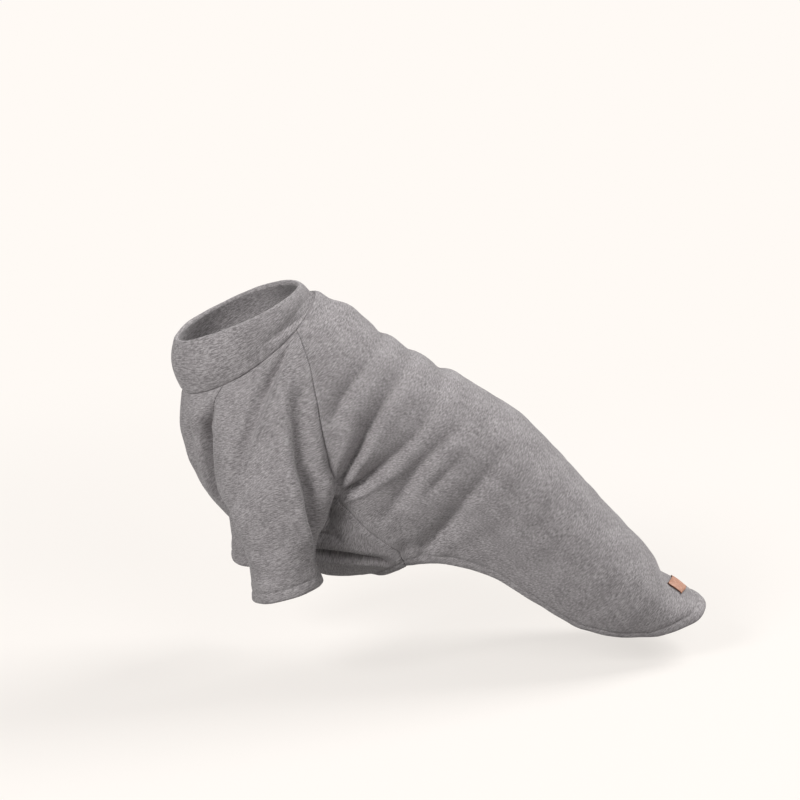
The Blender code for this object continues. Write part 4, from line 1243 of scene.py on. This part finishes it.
def seenOnly(nodes, seen, lit, output):
    # one shader for the camera and for mirrors, and another for everything else
    rays = nodes.add("ShaderNodeLightPath").outputs
    seenRay = nodes.math("MAXIMUM", rays["Is Camera Ray"], rays["Is Glossy Ray"])
    seenRay = nodes.math("MAXIMUM", seenRay, rays["Is Transmission Ray"])
    mix = nodes.add("ShaderNodeMixShader", {0: seenRay, 1: lit, 2: seen})
    nodes.fill(nodes.tree.nodes[output], {"Surface": mix.outputs[0]})


def makeWorld():
    world = bpy.data.worlds.new("paleRoom")
    bpy.context.scene.world = world
    nodes = Nodes(world, "Background")
    lit = nodes.fill(nodes.shader, {"Color": (1, 1, 1, 1), "Strength": studio["worldLight"]})
    seen = nodes.add("ShaderNodeBackground", {"Color": (*studio["paper"], 1), "Strength": 1.0})
    seenOnly(nodes, seen.outputs[0], lit.outputs[0], "World Output")


def makeFloor():
    mesh = bmesh.new()
    bmesh.ops.create_grid(mesh, x_segments=1, y_segments=1, size=studio["floorSize"])
    bmesh.ops.translate(mesh, verts=mesh.verts[:], vec=(0, 0, studio["floor"]))
    material = bpy.data.materials.new("palePaper")
    nodes = Nodes(material)
    plain = nodes.fill(nodes.shader, {"Base Color": studio["bounced"], "Roughness": 1.0,
                                      "Specular IOR Level": 0.0})
    share, paper = studio["shadowShare"], studio["paper"]
    shaded = (*(share / studio["floorLight"] * tone for tone in paper), 1)
    shade = nodes.add("ShaderNodeBsdfDiffuse", {"Color": shaded})
    glow = nodes.add("ShaderNodeEmission", {"Color": (*paper, 1), "Strength": 1 - share})
    both = nodes.add("ShaderNodeAddShader", {0: shade.outputs[0], 1: glow.outputs[0]})
    # further out the floor is plain paper, so that it meets the backdrop without a line
    place = nodes.add("ShaderNodeTexCoord").outputs["Object"]
    away = nodes.add("ShaderNodeVectorMath", {0: place, 1: (*studio["middle"], studio["floor"])},
                     operation="DISTANCE")
    start, end = studio["shadowReach"]
    far = nodes.add("ShaderNodeMapRange", {"Value": away.outputs["Value"], "From Min": start,
                                           "From Max": end}, interpolation_type="SMOOTHSTEP")
    blank = nodes.add("ShaderNodeEmission", {"Color": (*paper, 1)})
    fade = nodes.add("ShaderNodeMixShader", {0: far.outputs["Result"], 1: both.outputs[0],
                                             2: blank.outputs[0]})
    seenOnly(nodes, fade.outputs[0], plain.outputs[0], "Material Output")
    floor = finishPiece("floor", mesh, (material,))


def addLamp(name, place, size, power):
    lamp = bpy.data.lights.new(name, "AREA")
    lamp.energy, lamp.size, lamp.shape = power, size, "SQUARE"
    thing = bpy.data.objects.new(name, lamp)
    bpy.context.scene.collection.objects.link(thing)
    thing.location = place
    direction = np.array((*studio["middle"], studio["lampTarget"])) - np.array(place)
    yaw = math.atan2(-direction[0], direction[1])
    pitch = math.atan2(math.hypot(direction[0], direction[1]), -direction[2])
    thing.rotation_euler = (pitch, 0, yaw)


def addCamera():
    turn, lift = studio["azimuth"], studio["elevation"]
    right = np.array([math.cos(turn), math.sin(turn), 0])
    back = np.array([math.sin(turn) * math.cos(lift), -math.cos(turn) * math.cos(lift), math.sin(lift)])
    up = np.cross(back, right)
    target = right * studio["aimRight"] + up * studio["aimUp"]
    lens = bpy.data.cameras.new("camera")
    lens.sensor_width = studio["sensor"]
    lens.lens = studio["sensor"] * studio["distance"] / studio["field"]
    camera = bpy.data.objects.new("camera", lens)
    bpy.context.scene.collection.objects.link(camera)
    camera.location = target + back * studio["distance"]
    camera.rotation_euler = (math.pi / 2 - lift, 0, turn)
    bpy.context.scene.camera = camera


makeWorld()
makeFloor()
for name, lamp in studio["lamps"].items():
    addLamp(name, *lamp)
addCamera()
bpy.context.scene.view_settings.view_transform = "Standard"
print("studio set")
